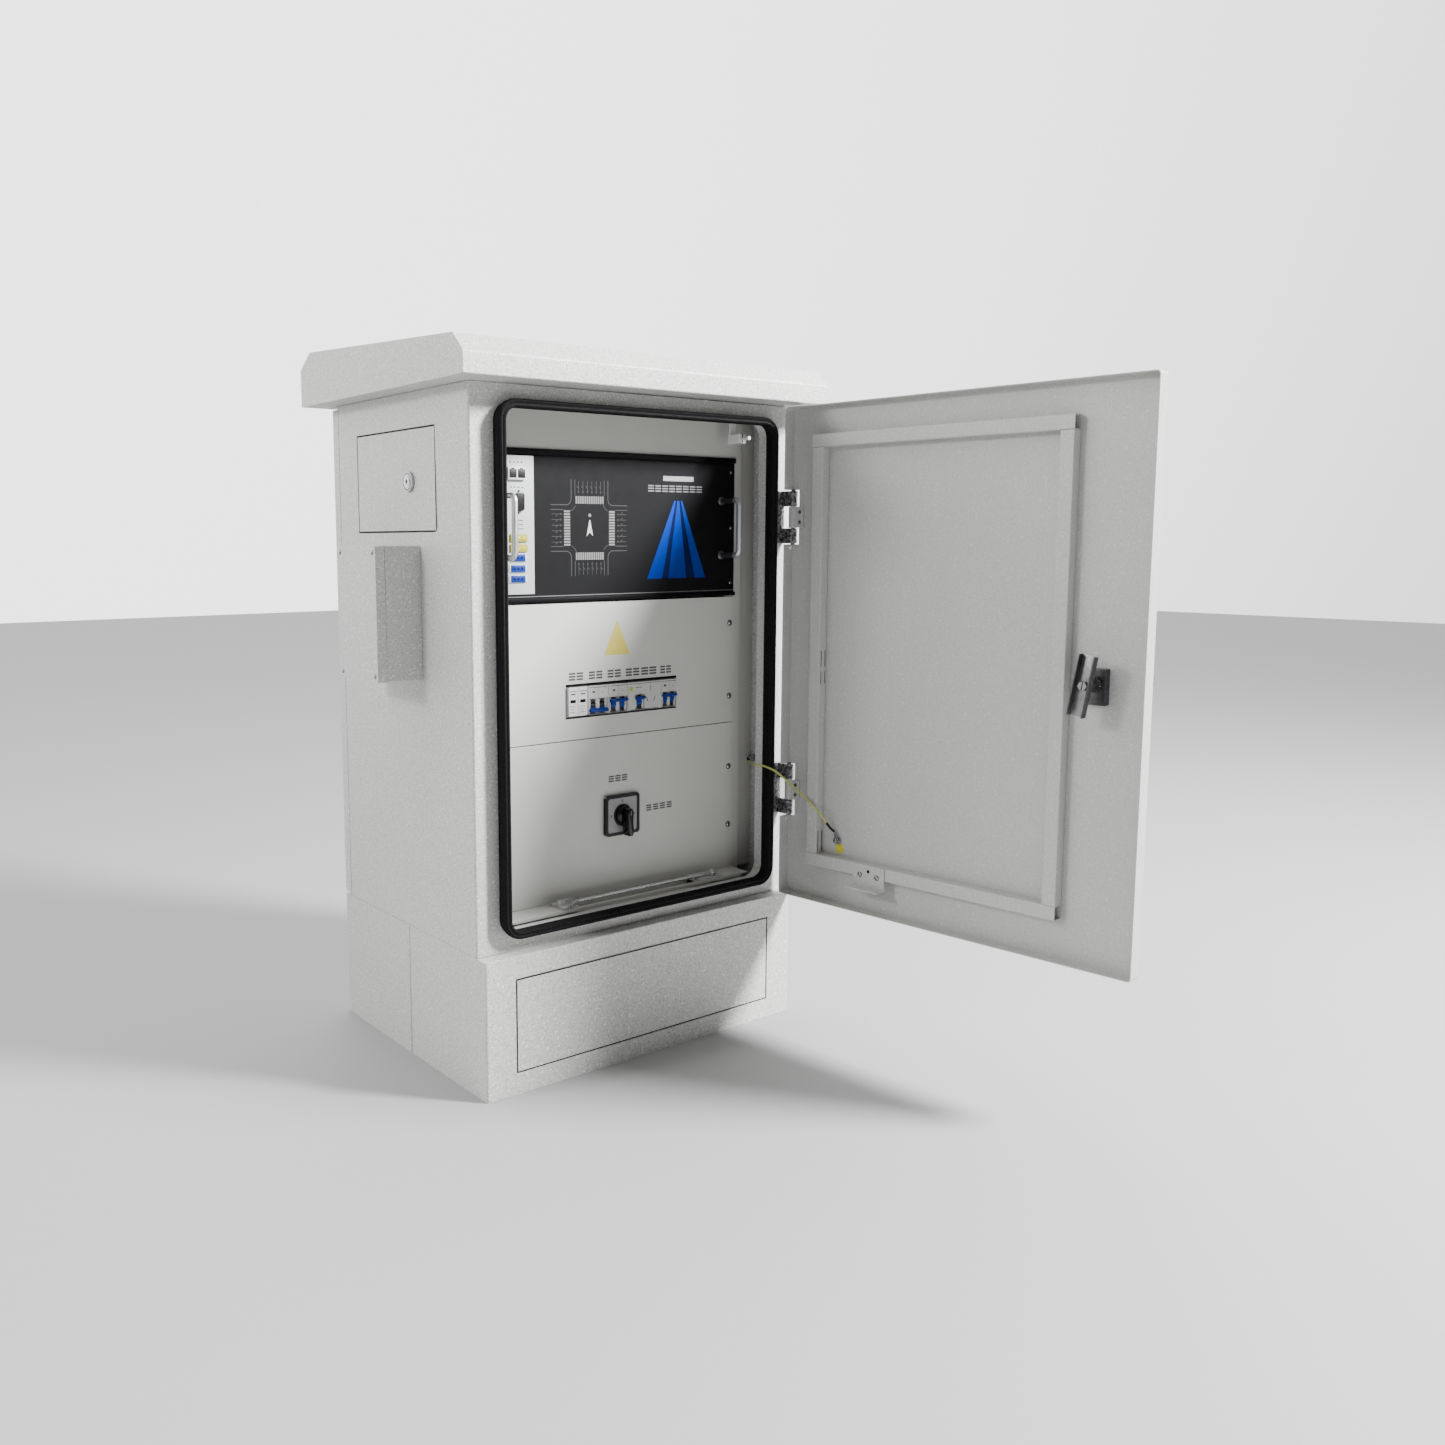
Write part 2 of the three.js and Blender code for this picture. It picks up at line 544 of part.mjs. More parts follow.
// Rail-mounted module: body behind the panel, nose through the cut-out, slot for its toggle.
function railModule(x0, x1, toggle) {
  const { nose, body, back, low, high, noseLow, noseHigh } = BREAKERS;
  const joined = [box(x0, x1, body, back, low, high),
    box(x0, Math.min(x1, 117.6), nose, body + 1, noseLow, noseHigh)];
  const removed = toggle ? [
    box(toggle[0] - 0.6, toggle[1] + 0.6, nose - 1, TOGGLE.y + 7, TOGGLE.z - 11.5, TOGGLE.z + 11.5)] : [];
  const axle = toggle ? [cylinderX(TOGGLE.y, TOGGLE.z, 1.5, toggle[0] - 1, toggle[1] + 1, 12)] : [];
  return carve([carve(joined, removed), ...axle]);
}

// up is 1 for on and -1 for off.
function breakerToggle(x0, x1, up) {
  const { y, z, reach, radius, swing } = TOGGLE;
  const arm = box(x0, x1, -reach, 0, -2, 2);
  arm.rotateX(-up * THREE.MathUtils.degToRad(swing));
  arm.translate(0, y, z);
  return carve([arm, cylinderX(y, z, radius, x0, x1, 20)],
    [cylinderX(y, z, 1.5 + GAP, x0 - 1, x1 + 1, 12)]);
}

const MODULES = [
  { name: "breaker_1", from: -58, to: -19.5, toggle: [-56, -21.5], up: -1 },
  { name: "breaker_2", from: -19, to: 18.5, toggle: [-17, 16.5], up: 1 },
  { name: "residual_breaker", from: 19, to: 85, toggle: [33, 51], up: 1 },
  { name: "breaker_3", from: 85.5, to: 121, toggle: [87.5, 115.6], up: 1 },
];

function changeoverBody() {
  const { x, z } = SWITCH;
  const front = PANEL.front - GAP;
  return carve([box(x - 32.5, x + 32.5, front - 5, front, z - 31, z + 31.5),
    cylinderY(x, z, 11, front - 1, 73), box(x - 24, x + 24, 72, 116, z - 24, z + 24)],
  [cylinderY(x, z, 3 + GAP, front - 6, 82, 16)]);
}

function changeoverKnob() {
  const { x, z } = SWITCH;
  const plate = PANEL.front - GAP - 5;
  return carve([cylinderY(x, z, 15, plate - 7, plate - GAP), cylinderY(x, z, 3, plate - 1, 80, 16),
    box(x - 5, x + 5, plate - 23, plate - 6, z - 31, z + 13)]);
}

// ---- door contact, stay rod, earth lead ----
function contactSwitch() {
  const { x, z } = CONTACT;
  return carve([box(x - 7.5, x + 7.5, 20, 46, z - 7, z + 7),
    box(x - 6.5, x + 6.5, 42, 44, z + 6, BODY.top - BODY.sheet - GAP)],
  [cylinderY(x, z, 3 + GAP, 19, 38, 16)]);
}

const contactPlunger = () => cylinderY(CONTACT.x, CONTACT.z, 3, 4.2, 32, 16);

function stayBracket() {
  return carve([box(140, 186, 31, 66, RAIL.shelf.high + GAP, 242.4), cylinderZ(STAY.x, STAY.y, 3, 241, 252, 16)]);
}

function stayRest() {
  return carve([box(-131, -104, 31, 66, RAIL.shelf.high + GAP, 242.4), box(-131, -104, 46, 48, 242, 251)]);
}

function stayRod() {
  const { x, y, z, end, radius } = STAY;
  const straight = new THREE.LineCurve3(new THREE.Vector3(x - 6, y, z), new THREE.Vector3(end, y, z));
  const tip = new THREE.LineCurve3(new THREE.Vector3(end + 1, y, z), new THREE.Vector3(-125, 22, z));
  return carve([rod(straight, radius, 12, 1), rod(tip, radius, 12, 1), cylinderZ(x, y, 8, z - 3, z + 3)],
    [cylinderZ(x, y, 3 + GAP, z - 5, z + 5, 16)]);
}

function bodyEarthStud() {
  const { y, z } = EARTH_BODY;
  const wall = HALF_WIDTH - BODY.sheet - GAP;
  return carve([cylinderX(y, z, 3, 280, wall, 16), cylinderX(y, z, 6.5, 284, wall, 6)]);
}

// Place on the open door, from its own coordinates.
function openDoorPoint(along, inward, z) {
  const angle = THREE.MathUtils.degToRad(DOOR_ANGLE);
  const x = doorX(along) - PIVOT.x;
  const y = doorY(inward) - PIVOT.y;
  return new THREE.Vector3(
    PIVOT.x + x * Math.cos(angle) - y * Math.sin(angle),
    PIVOT.y + x * Math.sin(angle) + y * Math.cos(angle), z);
}

function earthLead() {
  const path = new THREE.CatmullRomCurve3([
    new THREE.Vector3(279.5 - LEAD_RADIUS, EARTH_BODY.y, EARTH_BODY.z),
    new THREE.Vector3(264, 50, 418),
    new THREE.Vector3(247, 22, 420),
    new THREE.Vector3(241.5, -4, 422.5),
    new THREE.Vector3(249.5, -23, 416),
    new THREE.Vector3(265, -33, 401),
    openDoorPoint(37.7, 24.5, 384.8),
    openDoorPoint(58.8, 24.5, 371.9),
    openDoorPoint(73.2, 24, 361.6),
    openDoorPoint(86, 17, 344),
    openDoorPoint(94.5, 11, 330),
    openDoorPoint(98.6, 6.6, 324.6),
  ]);
  return rod(path, LEAD_RADIUS, 8, 44);
}

// ---- assembly ----
const group = new THREE.Group();

const ROOT_PARTS = [
  mesh("plinth_front_half", plinthFrontHalf(), CABINET_GREY),
  mesh("plinth_rear_half", plinthRearHalf(), CABINET_GREY),
  mesh("plinth_access_panel", plinthAccessPanel(), CABINET_GREY),
  mesh("body_wrap", bodyWrap(), CABINET_GREY),
  mesh("front_frame", frontFrame(), CABINET_GREY),
  mesh("rear_frame", rearFrame(), CABINET_GREY),
  mesh("roof_cap", roofCap(), CABINET_GREY),
  mesh("front_seal", seal(BODY.front, -1, 10, 22.3), RUBBER),
  mesh("rear_seal", seal(BODY.back, 1, 8, 18.7), RUBBER),
  mesh("rack_frame", rackFrame(), CABINET_GREY),
  mesh("controller_chassis", controllerChassis(), PLASTIC_GREY),
  mesh("controller_front_panel", controllerFrontPanel(), PANEL_BLACK),
  mesh("controller_left_handle", panelHandle(-CONTROLLER.handleX), ZINC),
  mesh("controller_right_handle", panelHandle(CONTROLLER.handleX), ZINC),
  mesh("controller_io_module", controllerIoModule(), PLASTIC_WHITE),
  mesh("breaker_panel", breakerPanel(), PANEL_WHITE),
  mesh("switch_panel", switchPanel(), PANEL_WHITE),
  mesh("din_rail", dinRail(), ZINC),
  mesh("surge_protector", railModule(-95, -58.5, null), PLASTIC_WHITE),
  mesh("changeover_switch_body", changeoverBody(), PLASTIC_GREY),
  mesh("side_box_body", sideBoxBody(), CABINET_GREY),
  mesh("side_box_lid", sideBoxLid(), CABINET_GREY),
  mesh("door_contact_switch", contactSwitch(), PLASTIC_WHITE),
  mesh("stay_rod_bracket", stayBracket(), CABINET_GREY),
  mesh("stay_rod_rest", stayRest(), CABINET_GREY),
  mesh("body_earth_stud", bodyEarthStud(), ZINC),
  mesh("earth_lead", earthLead(), EARTH_GREEN),
  mesh("rear_door_pan", rearDoorPan(), CABINET_GREY),
  mesh("rear_door_lock", rearDoorLock(), CHROME),
  mesh("side_access_door", sideAccessDoor(), CABINET_GREY),
  mesh("side_door_lock", sideDoorLock(), CHROME),
  mesh("changeover_knob", changeoverKnob(), PLASTIC_BLACK),
  mesh("door_contact_plunger", contactPlunger(), PLASTIC_WHITE),
  mesh("door_stay_rod", stayRod(), ZINC),
];
group.add(...ROOT_PARTS);

Object.entries(HINGE.centres).forEach(([place, z]) => {
  const front = bodyLeaf(z, PIVOT, BODY.front - 3.3, BODY.front - GAP);
  const rear = bodyLeaf(z, REAR_PIVOT, BODY.back + GAP, BODY.back + 3.3);
  group.add(mesh(`${place}_hinge_body_leaf`, front, HINGE_BLACK));
  group.add(mesh(`rear_${place}_hinge_leaf`, rear, HINGE_BLACK));
});

MODULES.forEach(({ name, from, to, toggle, up }) => {
  group.add(mesh(name, railModule(from, to, toggle), PLASTIC_WHITE));
  group.add(mesh(`${name}_toggle`, breakerToggle(...toggle, up), PLASTIC_BLUE));
});

const DOOR_PARTS = [
  mesh("front_door_pan", frontDoorPan(), DOOR_GREY),
  mesh("stiffener_top", stiffenerAlong(STIFFENER.high - STIFFENER.width), DOOR_GREY),
  mesh("stiffener_bottom", stiffenerAlong(STIFFENER.low), DOOR_GREY),
  mesh("stiffener_hinge_side", stiffenerUp(STIFFENER.near), DOOR_GREY),
  mesh("stiffener_latch_side", stiffenerUp(STIFFENER.far - STIFFENER.width), DOOR_GREY),
  mesh("upper_hinge_door_leaf", doorLeaf(HINGE.centres.upper, PIVOT, doorY(1.8), doorY(4.8)), DOOR_GREY),
  mesh("lower_hinge_door_leaf", doorLeaf(HINGE.centres.lower, PIVOT, doorY(1.8), doorY(4.8)), DOOR_GREY),
  mesh("latch_housing", latchHousing(), ZINC),
  mesh("handle_escutcheon", handleEscutcheon(), HINGE_BLACK),
  mesh("door_stay_bracket", doorStayBracket(), DOOR_GREY),
  mesh("door_earth_stud", doorEarthStud(), ZINC),
  mesh("latch_claw", latchClaw(), ZINC),
  mesh("door_handle", doorHandle(), HINGE_BLACK),
];

// The door's parts are drawn closed, so they hang in a group that is moved back from the pivot,
// inside one that stands on the pivot and is turned open.
const closedDoor = new THREE.Group();
closedDoor.position.set(-PIVOT.x, -PIVOT.y, 0);
closedDoor.add(...DOOR_PARTS);
const openDoor = new THREE.Group();
openDoor.position.set(PIVOT.x, PIVOT.y, 0);
openDoor.rotation.z = THREE.MathUtils.degToRad(DOOR_ANGLE);
openDoor.add(closedDoor);
group.add(openDoor);

export default group;
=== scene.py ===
"""Roadside signal control cabinet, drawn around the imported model.

Every size below is in millimetres, in the model's own axes: +X to the right as seen from the
front, +Y to the back, +Z up. Objects are made in metres. Places on the front door are given as
on the closed door: (along from its hinge edge, inwards from its outer face, height).
"""
import json
from math import cos, pi, radians, sin, sqrt

import bmesh
import bpy
from mathutils import Matrix, Vector


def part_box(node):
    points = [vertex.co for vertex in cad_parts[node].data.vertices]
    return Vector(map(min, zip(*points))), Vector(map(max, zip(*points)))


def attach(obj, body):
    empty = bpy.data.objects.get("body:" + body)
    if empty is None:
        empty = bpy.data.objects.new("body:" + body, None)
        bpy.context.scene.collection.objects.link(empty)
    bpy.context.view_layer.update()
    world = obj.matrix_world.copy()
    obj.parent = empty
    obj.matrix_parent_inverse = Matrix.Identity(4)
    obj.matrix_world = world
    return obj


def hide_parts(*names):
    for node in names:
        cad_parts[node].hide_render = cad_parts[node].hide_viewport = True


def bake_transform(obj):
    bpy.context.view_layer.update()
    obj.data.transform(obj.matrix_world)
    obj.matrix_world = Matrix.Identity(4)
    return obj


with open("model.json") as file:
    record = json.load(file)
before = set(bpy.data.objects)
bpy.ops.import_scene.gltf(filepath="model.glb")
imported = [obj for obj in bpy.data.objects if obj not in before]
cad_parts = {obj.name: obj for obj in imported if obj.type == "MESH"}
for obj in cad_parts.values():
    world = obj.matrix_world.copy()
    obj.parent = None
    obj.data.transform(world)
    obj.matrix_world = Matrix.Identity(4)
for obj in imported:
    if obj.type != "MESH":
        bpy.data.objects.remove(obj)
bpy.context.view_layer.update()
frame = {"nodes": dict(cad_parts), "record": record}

MM = 0.001
BODY_OF = {n: b for b, ns in frame["record"]["behaviour"]["bodies"].items() for n in ns}
SLOT_OF = {s["node"]: s["material_slot"] for s in frame["record"]["subparts"]}

# ---- driving dimensions ----
HALF_WIDTH = 295
BODY_FRONT = 8
PLINTH_FACE = -15
SEAM_FRONT = 30
SEAM_BACK = 388
SEAM_GAP = 0.3
OPENING = {"half": 253, "bottom": 233.5, "top": 969.5, "radius": 22}
DOOR_EDGE = 294.5
DOOR_FACE = -16.5
DOOR_ANGLE = 96.1
PIVOT = (292, -14)
PANEL_FACE = 69.5
SPINDLE = {"along": 519, "z": 596.5}
CLAW_TILT = 10
LEAD_RADIUS = 1.6
PRINT = 0.15  # height of printed marks

# Where the earth lead runs: from the stud in the body to the lug on the door.
LEAD_IN_BODY = [(277.9, 70, 420), (264, 50, 418), (247, 22, 420), (241.5, -4, 422.5),
                (249.5, -23, 416), (265, -33, 401)]
LEAD_ON_DOOR = [(37.7, 24.5, 384.8), (58.8, 24.5, 371.9), (73.2, 24, 361.6), (86, 17, 344),
                (94.5, 11, 330), (98.6, 6.6, 324.6)]
LEAD_STEPS = 60
SLEEVE_WALL = 0.45
LEAD_SLEEVE = 0.865  # share of the path where the black sleeve begins

# ---- body and doors ----
BODY_BACK = 410
DOOR_BOTTOM, DOOR_TOP = 208, 994
DOOR_SHEET = 1.5
DOOR_LEAF_FACE = -12.0
STIFFENER_FACE = 72.5  # from the hinge edge to the free side of the hinge-side tube
REAR_PIVOT = 428.5
NUT_TEETH = 18
SEAL_GRIP = 8
PANEL_GAP = {"out": 1.1, "lap": 0.2}
# how far the painted shade strips in the panel gaps stand proud
GAP_SHADE_PROUD = 0.12
HINGE_CENTRES = {"upper": 822.5, "lower": 380}
# widths of the painted shade strips in the side door's gap
GAP_LINES = {"above": 2.4, "rear": 1.8, "front": 0.7, "below": 1.3}
SIDE_LOCK = (-295, 175.6, 871.7)
SIDE_BOX = {"front": 147.6, "back": 270.4, "low": 586.5, "high": 780, "face": -367}
ROD_EYE = (172, 41, 246)
FOLDS = {"sill_lip": ((-228, 29.2, 234.2), (228, 30.6, 239.6)),
         "tray_floor": ((-100, 31.6, 228), (136, 61.6, 229.4)),
         "tray_edge": ((-100, 60.2, 228), (136, 61.6, 237.6)),
         "rail_flange": ((256, 78, 236), (292, 79.4, 990))}

# ---- panels and modules ----
PANEL_SCREW_X = 233.5
PANEL_SCREWS = {"breaker_panel": (651.6, 530.7), "switch_panel": (412, 313.4)}
CONTROLLER_SCREWS = (895.4, 806.2, 717.6)
JUNCTION = {"x": -51, "z": 805, "arm": 71, "road": 34, "kerb": 27, "bend": 9,
            "walk_half": 24.5, "walk_near": 36, "walk_far": 47}
FAN = {"top": 848, "foot": 727, "left": 59, "right": 179,
       "stripes": (((0.455, 0.48), (0.0, 0.25)), ((0.505, 0.54), (0.355, 0.665)),
                   ((0.565, 0.59), (0.815, 1.0)))}
HANDLE = {"feet": (762.6, 849.4), "out": 26.0, "bend": 9.0}
CUTOUT = {"left": -96, "right": 118, "low": 521.3, "high": 569.3}
LEGENDS = ((-91, -65), (-54, -28.5), (-18.5, 7), (17, 43.5), (47.5, 78), (86, 108))
NOSE = 66  # front of the modules' noses
MODULES = {"breaker_1": (-58, -19.5), "breaker_2": (-19, 18.5), "residual_breaker": (19, 85),
           "breaker_3": (85.5, 117.6)}
TOGGLES = {"breaker_1": (-56, -21.5), "breaker_2": (-17, 16.5), "residual_breaker": (33, 51),
           "breaker_3": (87.5, 115.6)}
TOGGLE_PIVOT = (73, 536)
TOGGLE_SWING = 35
SWITCH = {"x": 6, "z": 361, "front": 64.2,
          "legends": ((-17, 414), (-4, 414), (9, 414), (58, 359), (72, 359), (86, 359), (100, 359))}

# ---- light ----
BACKDROP_SIDE = (0.10, 0.93, 0.35)
ROOM_LIGHT = (0.25, 3.2)  # in front of the part, and behind it

FLOOR_HALF = 12  # metres
# Each lamp's place, the point it aims at, its width (metres) and its power (watts).
LAMPS = {"key": ((2.18, -2.5, 2.95), (0, 0.1, 0.6), 0.9, 860),
         "left_fill": ((-2.9, 0.55, 1.9), (0, 0, 0.6), 0.5, 38)}

# ---- directions ----
FRONT = (0, -1, 0)
BACK = (0, 1, 0)
LEFT = (-1, 0, 0)
RIGHT = (1, 0, 0)
UP = (0, 0, 1)

DOOR_TURN = (Matrix.Translation((*PIVOT, 0)) @ Matrix.Rotation(radians(DOOR_ANGLE), 4, "Z")
             @ Matrix.Translation((-PIVOT[0], -PIVOT[1], 0)))


def on_door(along, inward, z):
    """Place on the closed door."""
    return Vector((DOOR_EDGE - along, DOOR_FACE + inward, z))


def into_scene(name, data):
    made = bpy.data.objects.new(name, data)
    bpy.context.scene.collection.objects.link(made)
    return made


# ---- camera ----
CAMERA_PLACE = (-1165.13, -1453.74, 785.6)
CAMERA_TURN = 36.48
CAMERA_DIP = 7.02
CAMERA_ROLL = -0.21
CAMERA_LENS = 31.13
CAMERA_SHIFT = (0.0869, -0.0190)


def make_camera():
    data = bpy.data.cameras.new("camera")
    data.sensor_width = 36
    data.lens = CAMERA_LENS
    data.shift_x, data.shift_y = CAMERA_SHIFT
    camera = into_scene("camera", data)
    turn = Matrix.Rotation(radians(-CAMERA_TURN), 4, "Z")
    tilt = Matrix.Rotation(radians(90 - CAMERA_DIP), 4, "X")
    roll = Matrix.Rotation(radians(CAMERA_ROLL), 4, "Z")
    camera.matrix_world = Matrix.Translation(Vector(CAMERA_PLACE) * MM) @ turn @ tilt @ roll
    bpy.context.scene.camera = camera


# ---- materials ----
def add_node(tree, kind, sources, values):
    """Adds a shader node, with sources and values for its inputs."""
    node = tree.nodes.new("ShaderNode" + kind)
    for socket, value in values.items():
        node.inputs[socket].default_value = value
    for socket, source in sources.items():
        tree.links.new(source, node.inputs[socket])
    return node


class Paint:
    """A node material under construction. Textures use the object's own coordinates, in metres."""

    def __init__(self, name, colour, rough, metal=0.0, gloss=0.5):
        self.material = bpy.data.materials.new(name)
        self.material.use_nodes = True
        self.tree = self.material.node_tree
        self.shader = self.tree.nodes["Principled BSDF"]
        for socket, value in (("Base Color", (*colour, 1)), ("Roughness", rough),
                              ("Metallic", metal), ("Specular IOR Level", gloss)):
            self.shader.inputs[socket].default_value = value
        self.coordinates = self.tree.nodes.new("ShaderNodeTexCoord").outputs
        self.place = self.coordinates["Object"]
        self.colour = None

    def node(self, kind, sources, **values):
        return add_node(self.tree, kind, sources, values)

    def to_shader(self, source, socket):
        self.tree.links.new(source, self.shader.inputs[socket])
        return self

    def stretched(self, scale):
        return self.node("Mapping", {"Vector": self.place}, Scale=scale).outputs["Vector"]

    def noise(self, scale, detail=3, place=None):
        node = self.node("TexNoise", {"Vector": place or self.place}, Scale=scale, Detail=detail)
        return node.outputs["Fac"]

    def cells(self, scale):
        return self.node("TexVoronoi", {"Vector": self.place}, Scale=scale).outputs["Color"]

    def ramp(self, factor, stops):
        node = self.node("ValToRGB", {"Fac": factor})
        elements = node.color_ramp.elements
        while len(elements) < len(stops):
            elements.new(0.5)
        for element, (position, colour) in zip(elements, stops):
            element.position = position
            element.color = (*colour, 1) if isinstance(colour, tuple) else (colour,) * 3 + (1,)
        return node.outputs["Color"]

    def tint(self, factor, stops, how="MULTIPLY"):
        """Lays a ramp over the colour so far."""
        node = self.tree.nodes.new("ShaderNodeMix")
        node.data_type = "RGBA"
        node.blend_type = how
        node.inputs["Factor"].default_value = 1.0
        if self.colour is None:
            node.inputs["A"].default_value = self.shader.inputs["Base Color"].default_value
        else:
            self.tree.links.new(self.colour, node.inputs["A"])
        self.tree.links.new(self.ramp(factor, stops), node.inputs["B"])
        self.colour = node.outputs["Result"]
        return self.to_shader(self.colour, "Base Color")

    def roughen(self, factor, low, high):
        return self.to_shader(self.ramp(factor, [(0.3, low), (0.7, high)]), "Roughness")

    def bump(self, height, strength, depth):
        """depth is in millimetres."""
        node = self.node("Bump", {"Height": height}, Strength=strength, Distance=depth * MM)
        return self.to_shader(node.outputs["Normal"], "Normal")


def powder_coat(name, colour, grain, strength, hollow_shade_and_glints):
    """Baked powder coat: orange-peel bumps about a millimetre across, with painted shade in the
    bumps' hollows and bright specks that are painted glints.
    """
    paint = Paint(name, colour, 0.45)
    fine = paint.noise(grain, 2)
    paint.tint(paint.noise(5, 2), [(0.3, 0.965), (0.7, 1.0)])
    # painted shade: darker where the bump's height is low, in its hollows
    paint.tint(fine, [(0.36, 1 - hollow_shade_and_glints), (0.5, 1.0)])
    # painted glints: bright specks added over the colour
    paint.tint(paint.noise(grain * 0.8, 1), [(0.62, 0.0), (0.72, hollow_shade_and_glints)], "ADD")
    paint.roughen(paint.noise(grain * 0.5, 2), 0.36, 0.56)
    return paint.bump(fine, strength, 0.5).material


def smooth_coat(name, colour, rough, gloss=0.5):
    """Smooth baked enamel with a faint unevenness."""
    paint = Paint(name, colour, rough, gloss=gloss)
    paint.tint(paint.noise(14, 3), [(0.3, 0.965), (0.7, 1.0)])
    paint.tint(paint.noise(1300, 2), [(0.38, 0.97), (0.5, 1.0)])
    paint.roughen(paint.noise(60, 3), rough - 0.06, rough + 0.06)
    return paint.bump(paint.noise(420, 2), 0.12, 0.2).material


def mottled_steel():
    """Blackened hinge steel, worn lighter in small patches."""
    paint = Paint("mottled_steel", (0.13, 0.13, 0.135), 0.5, 0.3)
    paint.tint(paint.noise(210, 4), [(0.42, 0.3), (0.6, 2.0)])
    paint.roughen(paint.noise(130, 4), 0.38, 0.66)
    return paint.bump(paint.noise(700, 3), 0.4, 0.3).material


def galvanised(name, colour, rough):
    """Zinc spangle over steel with small scratches."""
    paint = Paint(name, colour, rough, 0.9)
    paint.tint(paint.cells(160), [(0.2, 0.8), (0.8, 1.0)])
    paint.tint(paint.noise(900, 3, paint.stretched((1, 1, 0.15))), [(0.35, 0.82), (0.6, 1.0)])
    paint.roughen(paint.noise(240, 4), rough - 0.1, rough + 0.12)
    return paint.bump(paint.noise(500, 3), 0.15, 0.2).material


def brushed_metal(name, colour, rough, grain=(1, 1, 0.04)):
    paint = Paint(name, colour, rough, 1.0)
    lines = paint.noise(1800, 3, paint.stretched(grain))
    paint.tint(lines, [(0.3, 0.86), (0.7, 1.0)])
    paint.roughen(lines, rough - 0.06, rough + 0.1)
    return paint.bump(lines, 0.12, 0.1).material


def rubber():
    paint = Paint("seal_rubber", (0.005, 0.005, 0.0055), 0.85, gloss=0.15)
    paint.tint(paint.noise(240, 4), [(0.35, 0.7), (0.7, 1.5)])
    paint.roughen(paint.noise(400, 4), 0.75, 0.95)
    return paint.bump(paint.noise(1500, 3), 0.3, 0.25).material


def plastic(name, colour, rough, grain=0.2):
    """Moulded plastic with a fine spark-eroded surface."""
    paint = Paint(name, colour, rough, gloss=0.3)
    paint.tint(paint.noise(90, 3), [(0.3, 0.93), (0.7, 1.0)])
    paint.roughen(paint.noise(300, 3), rough - 0.05, rough + 0.08)
    return paint.bump(paint.noise(2600, 2), grain, 0.08).material


def ink(name, colour, rough=0.5):
    """Screen-printed ink, slightly uneven."""
    paint = Paint(name, colour, rough, gloss=0.15)
    paint.tint(paint.noise(700, 3), [(0.3, 0.86), (0.65, 1.0)])
    return paint.bump(paint.noise(1800, 2), 0.1, 0.05).material


def fan_ink():
    """Blue print that deepens towards its foot."""
    paint = Paint("fan_ink", (0.0, 0.030, 0.30), 0.5, gloss=0.1)
    split = paint.node("SeparateXYZ", {"Vector": paint.place})
    height = add_node(paint.tree, "MapRange", {"Value": split.outputs["Z"]},
                      {"From Min": FAN["foot"] * MM, "From Max": FAN["top"] * MM})
    paint.tint(height.outputs["Result"], [(0.0, (1.0, 0.75, 0.85)), (0.75, (1.0, 1.6, 1.35))])
    paint.tint(paint.noise(900, 2), [(0.3, 0.9), (0.65, 1.0)])
    return paint.bump(paint.noise(1500, 2), 0.1, 0.05).material


def lead_insulation():
    """Green-yellow insulation: a green stripe winds round a yellow ground."""
    paint = Paint("lead_insulation", (0.60, 0.58, 0.16), 0.42)
    wave = paint.node("TexWave", {"Vector": paint.coordinates["UV"]}, Scale=0.32)
    paint.tint(wave.outputs["Fac"], [(0.66, 1.0), (0.78, (0.42, 0.62, 0.5))])
    paint.tint(paint.noise(300, 3), [(0.3, 0.9), (0.7, 1.0)])
    return paint.bump(paint.noise(1500, 2), 0.15, 0.1).material


CABINET = powder_coat("cabinet_powder_coat", (0.56, 0.56, 0.545), 360, 1.0, 0.26)
DOOR = powder_coat("door_powder_coat", (0.49, 0.49, 0.475), 430, 0.5, 0.12)
WHITE_COAT = smooth_coat("panel_white_coat", (0.54, 0.54, 0.515), 0.42)
BLACK_COAT = smooth_coat("panel_black_coat", (0.004, 0.004, 0.0052), 0.6, 0.12)
BLACK_RIM_AND_SHADE = smooth_coat("black_rim_and_painted_shade", (0.002, 0.002, 0.0025), 0.5, 0.1)
PALE_COAT = smooth_coat("socket_strip_coat", (0.46, 0.47, 0.48), 0.45)
HINGE_STEEL = mottled_steel()
ZINC = galvanised("galvanised_steel", (0.60, 0.61, 0.62), 0.36)
LATCH_STEEL = galvanised("latch_steel", (0.30, 0.30, 0.30), 0.4)
HOUSING_STEEL = galvanised("latch_housing_steel", (0.11, 0.11, 0.115), 0.42)
SCREW = brushed_metal("screw_steel", (0.42, 0.42, 0.44), 0.18)
ROD_STEEL = brushed_metal("rod_steel", (0.70, 0.71, 0.72), 0.24)
ALUMINIUM = brushed_metal("handle_aluminium", (0.66, 0.67, 0.68), 0.42)
CHROME = brushed_metal("lock_chrome", (0.50, 0.51, 0.52), 0.14, (1, 1, 1))
DARK_STEEL = galvanised("serrated_nut_steel", (0.16, 0.16, 0.165), 0.34)
HANDLE_LEG_SHADE = brushed_metal("handle_leg_painted_shade", (0.22, 0.22, 0.225), 0.4)
